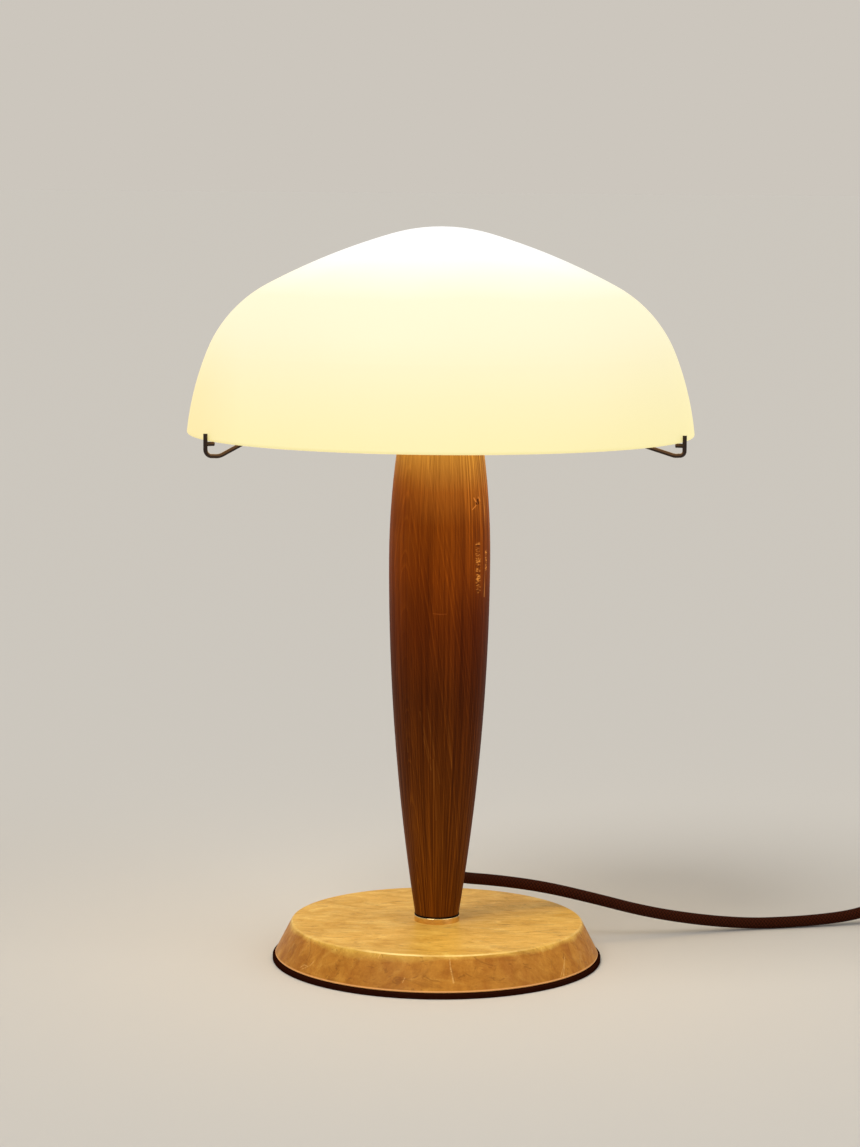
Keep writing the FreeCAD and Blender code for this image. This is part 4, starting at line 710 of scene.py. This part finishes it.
def felt():
    """Dense dark felt under the stone."""
    pad = Finish("foot_felt", Roughness=0.85, Specular_IOR_Level=0.0)
    hairs = pad.noise(pad.place(), scale=1300, detail=5, roughness=0.75)
    pad.colour(pad.ramp(hairs, [(0.3, linear(26, 9, 4)), (0.7, linear(46, 18, 9))]))
    pad.bump(hairs, 0.2 * MM, strength=0.6)
    return pad.material


BRAID_STRANDS = 16
BRAID_PITCH = 2.3 * MM
STRAND_THREADS = 3
THREAD_RELIEF = 0.3
# The yarn's tones from the braid's hollows to its tops, with shade painted into the hollows
BRAID_TONES_AND_HOLLOW_SHADE = [
    (0.0, linear(13, 5, 2)),
    (0.5, linear(43, 16, 6)),
    (1.0, linear(75, 31, 13)),
]
FUZZ_FACTORS = [
    (0.3, (0.75, 0.75, 0.75, 1)),
    (0.7, (1.15, 1.15, 1.15, 1)),
]


def braided_yarn():
    """Plaited cover: two sets of strands that cross over and under, each of three threads."""
    braid = Finish("braided_yarn", Roughness=0.65, Specular_IOR_Level=0.03)
    across, along, _ = braid.parts(braid.around())
    turned = braid.times(across, BRAID_STRANDS / 2)
    run = braid.maths("DIVIDE", along, BRAID_PITCH)
    rising = braid.plus(turned, run)
    falling = braid.minus(turned, run)
    over = braid.node("TexChecker", {"Vector": braid.flat(rising, falling), "Scale": 1.0,
                                     "Color1": (1, 1, 1, 1), "Color2": (0, 0, 0, 1)}).outputs["Fac"]
    tops = []
    threads = []
    for line in (rising, falling):
        wave = braid.maths("SINE", braid.times(line, math.pi))
        tops.append(braid.maths("ABSOLUTE", wave))
        fine = braid.maths("SINE", braid.times(line, 2 * STRAND_THREADS * math.pi))
        threads.append(braid.spread(fine, -1, 1))
    top = braid.mix(over, tops[1], tops[0])
    thread = braid.mix(over, threads[1], threads[0])
    height = braid.plus(top, braid.times(thread, THREAD_RELIEF))
    depth = braid.spread(height, 0.0, 1.0 + THREAD_RELIEF)
    fuzz = braid.noise(braid.place(), scale=2500, detail=3)
    # Painted shade: darker in the hollows between the strands, lighter on their tops
    braid.colour(braid.tint(0.8, braid.ramp(depth, BRAID_TONES_AND_HOLLOW_SHADE), braid.ramp(fuzz, FUZZ_FACTORS)))
    braid.bump(depth, 0.35 * MM, strength=0.9)
    return braid.material


def lit_bulb():
    """The bulb's frosted globe, alight."""
    bulb = Finish("lit_bulb", Base_Color=linear(250, 244, 228), Roughness=0.3,
                  Emission_Color=linear(255, 226, 168), Emission_Strength=3.0)
    bulb.bump(bulb.noise(bulb.place(), scale=600, detail=2), 0.02 * MM, strength=0.4)
    return bulb.material


def dress_nodes():
    """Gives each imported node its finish."""
    dark_chrome = metal("dark_chrome_wire", linear(66, 55, 50), 0.14)
    # The collar's warm tint is partly a painted reflection of the golden stone round it
    polished = metal("polished_collar", linear(236, 204, 142), 0.09)
    zinc = metal("zinc_plated_steel", linear(190, 192, 192), 0.32)
    brass = metal("turned_brass", linear(206, 164, 88), 0.26)
    nickel = metal("nickel_plate", linear(205, 200, 190), 0.2)
    solder = metal("solder", linear(176, 174, 168), 0.4, scale=900)
    black = moulded("black_plastic", BLACK, 0.42)
    case = seamed_plastic("switch_case_plastic", SWITCH_SEAM, 0.3 * MM)
    rocker = marked_rocker()
    holder = moulded("holder_resin", linear(34, 30, 28), 0.36)
    rubber = moulded("black_rubber", linear(20, 18, 17), 0.6)
    washer = moulded("washer_rubber", linear(9, 4, 6), 0.6, shine=0.03)
    white = moulded("white_plastic", linear(228, 226, 220), 0.35)
    glass_black = moulded("black_glass", linear(16, 15, 16), 0.12, texture=0.004 * MM)
    board = moulded("board_mask", linear(232, 236, 232), 0.3)
    brown = moulded("brown_insulation", linear(96, 54, 30), 0.42, texture=0.01 * MM)
    blue = moulded("blue_insulation", linear(36, 78, 150), 0.42, texture=0.01 * MM)
    finishes = {
        "foot_pad": felt(),
        "stone_base": travertine(),
        "wooden_stem": turned_walnut(),
        "glass_shade": lit_opal_glass(),
        "bulb_diffuser": lit_bulb(),
        "collar_ring": polished,
        "collar_gasket": washer,
        "base_washer": zinc,
        "base_bolt": zinc,
        "threaded_insert": brass,
        "cord_bushing": black,
        "live_lead": brown,
        "neutral_lead": blue,
        "stem_plate": polished,
        "threaded_tube": zinc,
        "carrier_hub": dark_chrome,
        "hub_nut": zinc,
        "carrier_arm_left": dark_chrome,
        "carrier_arm_right": dark_chrome,
        "carrier_arm_rear": dark_chrome,
        "holder_cap": holder,
        "holder_insert": holder,
        "terminal_screws": brass,
        "holder_skirt": holder,
        "screw_shell": brass,
        "centre_contact": brass,
        "bulb_tip": solder,
        "bulb_insulator": glass_black,
        "bulb_cap": nickel,
        "bulb_housing": white,
        "led_board": board,
        "switch_base": case,
        "switch_cover": case,
        "switch_rocker": rocker,
        "contact_bridge": brass,
        "rocker_pin": zinc,
        "live_contacts": brass,
        "cord_clamp_lamp_side": black,
        "cord_clamp_plug_side": black,
        "clamp_screws": zinc,
        "case_screws": zinc,
        "neutral_link": blue,
        "live_links": brown,
        "plug_body": seamed_plastic("plug_plastic", PLUG_SEAM, 0.2 * MM),
        "plug_pins": nickel,
        "pin_sleeves": black,
        "plug_relief": rubber,
    }
    for name, finish in finishes.items():
        mesh = nodes[name].data
        mesh.materials.clear()
        mesh.materials.append(finish)


# Camera and cords

def place_camera():
    """The camera of the photo."""
    camera = bpy.data.cameras.new("photo_camera")
    camera.lens = CAMERA_LENS
    camera.sensor_width = CAMERA_SENSOR
    camera.clip_start = CAMERA_NEAREST
    camera.clip_end = CAMERA_FARTHEST
    holder = bpy.data.objects.new("photo_camera", camera)
    bpy.context.scene.collection.objects.link(holder)
    flat = math.cos(CAMERA_PITCH)
    forward = Vector((-math.sin(CAMERA_YAW) * flat, math.cos(CAMERA_YAW) * flat, -math.sin(CAMERA_PITCH)))
    holder.location = CAMERA_PLACE
    holder.rotation_mode = "QUATERNION"
    holder.rotation_quaternion = forward.to_track_quat("-Z", "Y") @ Quaternion((0, 0, 1), CAMERA_ROLL)
    bpy.context.scene.camera = holder


def coil_point(turns):
    """A point of the coil: inwards on the table, up a layer in half a turn, outwards on top."""
    inside = COIL_RADIUS - COIL_PITCH * TURNS_PER_LAYER
    if turns <= TURNS_PER_LAYER:
        radius = COIL_RADIUS - COIL_PITCH * turns
        height = CORD_RADIUS
    elif turns <= TURNS_PER_LAYER + CLIMB_TURNS:
        share = (turns - TURNS_PER_LAYER) / CLIMB_TURNS
        radius = inside - COIL_PITCH * CLIMB_TURNS * math.sin(math.pi * share) / math.pi
        height = CORD_RADIUS + COIL_PITCH * (1 - math.cos(math.pi * share)) / 2
    else:
        radius = inside + COIL_PITCH * (turns - TURNS_PER_LAYER - CLIMB_TURNS)
        height = CORD_RADIUS + COIL_PITCH
    reach = radius / math.cos(math.pi / POINTS_PER_TURN)
    angle = -2 * math.pi * turns
    return COIL_MIDDLE + Vector((reach * math.cos(angle), reach * math.sin(angle), height))


def coil_points():
    """The coil's points from its outer end on the table to its outer end on top."""
    total = 2 * TURNS_PER_LAYER + CLIMB_TURNS
    count = round(total * POINTS_PER_TURN)
    return [coil_point((step + 0.5) / POINTS_PER_TURN) for step in range(count)]


CURVE_STEPS = 20
TUBE_SIDES = 20


def smooth_line(points):
    """The points down the middle of a NURBS spline with the route's points as its control points."""
    curve = bpy.data.curves.new("route", "CURVE")
    curve.dimensions = "3D"
    curve.resolution_u = CURVE_STEPS
    spline = curve.splines.new("NURBS")
    spline.points.add(len(points) - 1)
    for control, point in zip(spline.points, points):
        control.co = (*point, 1)
    spline.order_u = 3
    spline.use_endpoint_u = True
    route = bpy.data.objects.new("route", curve)
    mesh = bpy.data.meshes.new_from_object(route)
    line = [vertex.co.copy() for vertex in mesh.vertices]
    bpy.data.meshes.remove(mesh)
    bpy.data.curves.remove(curve)
    return line


def tube(name, line, radius, finish):
    """A tube along a line, with UV: once round is 1 across, and along is in metres."""
    along = [0.0]
    for before, after in zip(line, line[1:]):
        along.append(along[-1] + (after - before).length)
    headings = []
    for index in range(len(line)):
        before = line[max(index - 1, 0)]
        after = line[min(index + 1, len(line) - 1)]
        headings.append((after - before).normalized())
    side = headings[0].orthogonal().normalized()
    points = []
    for index, heading in enumerate(headings):
        side = (side - side.dot(heading) * heading).normalized()
        other = heading.cross(side)
        for step in range(TUBE_SIDES):
            angle = 2 * math.pi * step / TUBE_SIDES
            points.append(line[index] + radius * (math.cos(angle) * side + math.sin(angle) * other))
    faces = []
    corners = []
    for ring in range(len(line) - 1):
        for step in range(TUBE_SIDES):
            after = (step + 1) % TUBE_SIDES
            near = ring * TUBE_SIDES
            far = near + TUBE_SIDES
            faces.append((near + step, near + after, far + after, far + step))
            corners += [(step / TUBE_SIDES, along[ring]), ((step + 1) / TUBE_SIDES, along[ring]),
                        ((step + 1) / TUBE_SIDES, along[ring + 1]), (step / TUBE_SIDES, along[ring + 1])]
    last = (len(line) - 1) * TUBE_SIDES
    faces.append(tuple(reversed(range(TUBE_SIDES))))
    faces.append(tuple(range(last, last + TUBE_SIDES)))
    corners += [(0.0, 0.0)] * (2 * TUBE_SIDES)
    mesh = bpy.data.meshes.new(name)
    mesh.from_pydata(points, [], faces)
    layer = mesh.uv_layers.new(name="UVMap")
    for loop, corner in zip(layer.data, corners):
        loop.uv = corner
    for face in mesh.polygons:
        face.use_smooth = len(face.vertices) == 4
    mesh.materials.append(finish)
    made = bpy.data.objects.new(name, mesh)
    bpy.context.scene.collection.objects.link(made)
    return made


# Pieces of the scene's own

SMOOTH_BELOW = math.radians(35)


def shape(name, finish, body="lamp"):
    """Ends the shaping of the active piece: its name, finish, slot and body, with its place in its mesh."""
    piece = bpy.context.object
    piece.name = name
    piece.data.name = name
    piece.data.materials.append(finish)
    bpy.ops.object.transform_apply(location=True, rotation=True, scale=True)
    bpy.ops.object.shade_smooth_by_angle(angle=SMOOTH_BELOW)
    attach(piece, body)
    bpy.ops.object.select_all(action="DESELECT")
    return piece


def apply(kind, **settings):
    """Adds a modifier to the active piece and applies it."""
    modifier = bpy.context.object.modifiers.new(kind.lower(), kind)
    for setting, value in settings.items():
        setattr(modifier, setting, value)
    bpy.ops.object.modifier_apply(modifier=modifier.name)


CAP_RADIUS = 6.95 * MM
CAP_BOTTOM = 342.5 * MM
CAP_TOP = 357.0 * MM
CAP_SIDES = 64
CAP_SHEET = 0.35 * MM
CAP_ROUNDING = 0.25 * MM
NECK_LEVELS = (343.9 * MM, 344.5 * MM, 352.0 * MM, 352.5 * MM)
NECK_RADIUS = 6.35 * MM
THREAD_FROM = 344.7 * MM
THREAD_PITCH = 2.82 * MM
THREAD_TURNS = 2.5
THREAD_RUN_OUT = 0.25
BEAD_RADIUS = 0.75 * MM
BEAD_SINK = 0.5 * MM
BEAD_EVERY = 4


def bead_point(step):
    """A point down the middle of the thread's bead, which sinks into the neck at both ends."""
    turns = step / POINTS_PER_TURN
    risen = min(turns, THREAD_TURNS - turns, THREAD_RUN_OUT) / THREAD_RUN_OUT
    reach = CAP_RADIUS - BEAD_RADIUS - (1 - risen) * BEAD_SINK
    angle = 2 * math.pi * turns
    return reach * math.cos(angle), reach * math.sin(angle), THREAD_FROM + THREAD_PITCH * turns


def bulb_screw_cap():
    """The bulb's sheet-metal cap, necked in behind its thread, and the thread rolled round it."""
    depth = CAP_TOP - CAP_BOTTOM
    bpy.ops.mesh.primitive_cylinder_add(vertices=CAP_SIDES, radius=CAP_RADIUS, depth=depth,
                                        end_fill_type="NOTHING", location=(0, 0, CAP_BOTTOM + depth / 2))
    cap = bpy.context.object
    bpy.ops.object.transform_apply(location=True, rotation=True, scale=True)
    bpy.ops.object.mode_set(mode="EDIT")
    for level in NECK_LEVELS:
        bpy.ops.mesh.select_all(action="SELECT")
        bpy.ops.mesh.bisect(plane_co=(0, 0, level), plane_no=(0, 0, 1))
    bpy.ops.mesh.select_mode(type="VERT")
    bpy.ops.mesh.select_all(action="DESELECT")
    bpy.ops.object.mode_set(mode="OBJECT")
    for vertex in cap.data.vertices:
        vertex.select = NECK_LEVELS[0] + 0.1 * MM < vertex.co.z < NECK_LEVELS[-1] - 0.1 * MM
    bpy.ops.object.mode_set(mode="EDIT")
    bpy.ops.transform.resize(value=(NECK_RADIUS / CAP_RADIUS, NECK_RADIUS / CAP_RADIUS, 1))
    bpy.ops.object.mode_set(mode="OBJECT")
    apply("BEVEL", width=CAP_ROUNDING, segments=3, limit_method="ANGLE", angle_limit=math.radians(20))
    apply("SOLIDIFY", thickness=CAP_SHEET, offset=-1)
    nickel = bpy.data.materials["nickel_plate"]
    cap = shape("bulb_screw_cap", nickel, "bulb")
    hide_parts("bulb_cap")
    count = round(THREAD_TURNS * POINTS_PER_TURN) + 1
    line = smooth_line([bead_point(step) for step in range(count)])[::BEAD_EVERY]
    thread = tube("bulb_thread", line, BEAD_RADIUS, nickel)
    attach(thread, "bulb")


def repeat(count, step):
    """Repeats the active piece that many times, each a step in millimetres on from the last."""
    apply("ARRAY", count=count, use_relative_offset=False, use_constant_offset=True,
          constant_offset_displace=Vector(step) * MM)


RIDGE_ROUNDING = 0.34 * MM


def ridges(first, size, step, count):
    """A row of rounded ridges, the first centred at that place, all in millimetres."""
    bpy.ops.mesh.primitive_cube_add(size=MM, location=Vector(first) * MM)
    bpy.ops.transform.resize(value=size)
    bpy.ops.object.transform_apply(location=True, rotation=True, scale=True)
    apply("BEVEL", width=RIDGE_ROUNDING, segments=3, limit_method="ANGLE")
    repeat(count, step)


def switch_grips():
    """Two groups of four ridges on the switch's cover, one at each end."""
    ridges(first=(287.2, 96.0, 18.0), size=(1.0, 13.0, 1.0), step=(2.4, 0, 0), count=4)
    repeat(2, (44.4, 0, 0))
    return shape("switch_grips", bpy.data.materials["black_plastic"])


def plug_grips():
    """Five ridges across the top of the plug's taper."""
    ridges(first=(388.0, -99.5, 13.45), size=(13.0, 1.1, 1.1), step=(0, 3.0, -0.07), count=5)
    return shape("plug_grips", bpy.data.materials["black_plastic"])


TIE_START = (296.5, -2.0, 14.95)
TIE_STUB = 3.0
TIE_WIDTH = 12.0
TIE_CORNER = 3.0 * MM
TIE_THICKNESS = 0.55 * MM
TIE_EDGE = 0.12 * MM


def run_edge(x, z):
    """Draws the tape's free edge out by x and z millimetres."""
    bpy.ops.mesh.extrude_region_move(TRANSFORM_OT_translate={"value": (x * MM, 0, z * MM)})


def turn_edge(x, z):
    """Turns the tape's free edge through a quarter circle about a line across it at x and z."""
    bpy.ops.mesh.spin(center=(x * MM, TIE_START[1] * MM, z * MM), axis=(0, 1, 0),
                      angle=math.pi / 2, steps=8)


# Outwards over the turns, down, inwards under them, up, and out again over the start to the lapped end
TIE_PATH = [
    (run_edge, -3.25, 0),
    (turn_edge, 291.75, 11.0),
    (run_edge, 0, -7.2),
    (turn_edge, 291.3, 3.8),
    (run_edge, 14.1, 0),
    (turn_edge, 305.4, 5.5),
    (run_edge, 0, 4.25),
    (turn_edge, 305.4, 9.75),
    (run_edge, -4.4, 0.1),
    (run_edge, -2.5, 0.65),
    (run_edge, -6.75, 0),
    (turn_edge, 291.75, 11.0),
    (run_edge, 0, -5.0),
    (run_edge, -0.4, -2.0),
    (run_edge, -0.7, -1.8),
]


def coil_tie():
    """A tape wrapped once round all the turns of the coil, its end lapped over its start."""
    bpy.ops.mesh.primitive_plane_add(size=MM, location=Vector(TIE_START) * MM)
    bpy.ops.transform.resize(value=(TIE_STUB, TIE_WIDTH, 1))
    tape = bpy.context.object
    bpy.ops.object.transform_apply(location=True, rotation=True, scale=True)
    bpy.ops.object.mode_set(mode="EDIT")
    bpy.ops.mesh.select_mode(type="VERT")
    bpy.ops.mesh.select_all(action="DESELECT")
    bpy.ops.object.mode_set(mode="OBJECT")
    for vertex in tape.data.vertices:
        vertex.select = vertex.co.x < TIE_START[0] * MM
    bpy.ops.object.mode_set(mode="EDIT")
    bpy.ops.mesh.select_mode(type="EDGE")
    for move, x, z in TIE_PATH:
        move(x, z)
    bpy.ops.mesh.select_mode(type="VERT")
    bpy.ops.mesh.bevel(affect="VERTICES", offset=TIE_CORNER, segments=5)
    bpy.ops.mesh.select_all(action="SELECT")
    bpy.ops.mesh.remove_doubles(threshold=0.02 * MM)
    bpy.ops.mesh.normals_make_consistent(inside=False)
    bpy.ops.object.mode_set(mode="OBJECT")
    apply("SOLIDIFY", thickness=TIE_THICKNESS, offset=0)
    apply("BEVEL", width=TIE_EDGE, segments=2, limit_method="ANGLE", angle_limit=math.radians(50))
    return shape("coil_tie", woven_tie())


def lay_cords():
    """Lays both lengths of cord, with the grips and the tie that belong to what they join."""
    yarn = braided_yarn()
    to_switch = smooth_line([CORD_EXIT, *LAMP_TO_SWITCH])
    lamp_lead = tube("lamp_lead", to_switch, CORD_RADIUS, yarn)
    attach(lamp_lead, "lamp")
    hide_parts("cord_to_switch")
    switch_grips()
    to_plug = smooth_line([SWITCH_EXIT, *SWITCH_TO_COIL, *coil_points(), *COIL_TO_PLUG])
    mains_lead = tube("mains_lead", to_plug, CORD_RADIUS, yarn)
    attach(mains_lead, "lamp")
    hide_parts("cord_to_coil", "cord_coil", "cord_to_plug")
    plug_grips()
    coil_tie()


# Studio

FLOOR_TONE = linear(206, 202, 195)
FLOOR_SIZE = 400
FLOOR_LEVEL = -0.2 * MM
BACKDROP_TONE = linear(204, 198, 189)
ROOM_LIGHT = (1, 0.985, 0.96, 1)
ROOM_STRENGTH = 0.55


def sun(name, comes_from, spread, strength, colour):
    """A lamp as wide as that many degrees, with its light from that direction."""
    light = bpy.data.lights.new(name, "SUN")
    light.angle = math.radians(spread)
    light.energy = strength
    light.color = colour
    holder = bpy.data.objects.new(name, light)
    bpy.context.scene.collection.objects.link(holder)
    holder.rotation_mode = "QUATERNION"
    holder.rotation_quaternion = Vector(comes_from).to_track_quat("Z", "Y")


def light_studio():
    """Even light from all round and two wide soft lamps. The camera sees the backdrop in the floor's tone."""
    world = bpy.data.worlds.new("studio")
    bpy.context.scene.world = world
    world.use_nodes = True
    tree = world.node_tree
    light = tree.nodes["Background"]
    light.inputs["Color"].default_value = ROOM_LIGHT
    light.inputs["Strength"].default_value = ROOM_STRENGTH
    backdrop = tree.nodes.new("ShaderNodeBackground")
    backdrop.inputs["Color"].default_value = BACKDROP_TONE
    rays = tree.nodes.new("ShaderNodeLightPath")
    either = tree.nodes.new("ShaderNodeMath")
    either.operation = "ADD"
    tree.links.new(rays.outputs["Is Camera Ray"], either.inputs[0])
    tree.links.new(rays.outputs["Is Glossy Ray"], either.inputs[1])
    any_of_them = tree.nodes.new("ShaderNodeMath")
    any_of_them.operation = "ADD"
    any_of_them.use_clamp = True
    tree.links.new(either.outputs[0], any_of_them.inputs[0])
    tree.links.new(rays.outputs["Is Transmission Ray"], any_of_them.inputs[1])
    mixed = tree.nodes.new("ShaderNodeMixShader")
    tree.links.new(any_of_them.outputs[0], mixed.inputs[0])
    tree.links.new(light.outputs[0], mixed.inputs[1])
    tree.links.new(backdrop.outputs[0], mixed.inputs[2])
    tree.links.new(mixed.outputs[0], tree.nodes["World Output"].inputs["Surface"])
    sun("key", comes_from=(-0.45, -0.52, 0.95), spread=30, strength=1.35, colour=(1, 0.975, 0.94))
    sun("fill", comes_from=(0.75, -0.45, 0.42), spread=50, strength=0.6, colour=(0.97, 0.98, 1))
    bpy.context.scene.view_settings.view_transform = "Standard"


def lay_floor():
    """A plain pale floor that can't be seen from below."""
    bpy.ops.mesh.primitive_plane_add(size=FLOOR_SIZE, location=(0, 0, FLOOR_LEVEL))
    floor = bpy.context.object
    floor.name = "floor"
    paint = Finish("floor_paint", Base_Color=FLOOR_TONE, Roughness=1.0, Specular_IOR_Level=0.0)
    from_below = paint.node("NewGeometry").outputs["Backfacing"]
    clear = paint.node("BsdfTransparent").outputs[0]
    seen = paint.node("MixShader", {0: from_below, 1: paint.shader.outputs[0], 2: clear}).outputs[0]
    paint.link(seen, paint.tree.nodes["Material Output"].inputs["Surface"])
    floor.data.materials.append(paint.material)


bpy.ops.object.select_all(action="DESELECT")
place_camera()
dress_nodes()
lay_cords()
bulb_screw_cap()
light_studio()
lay_floor()
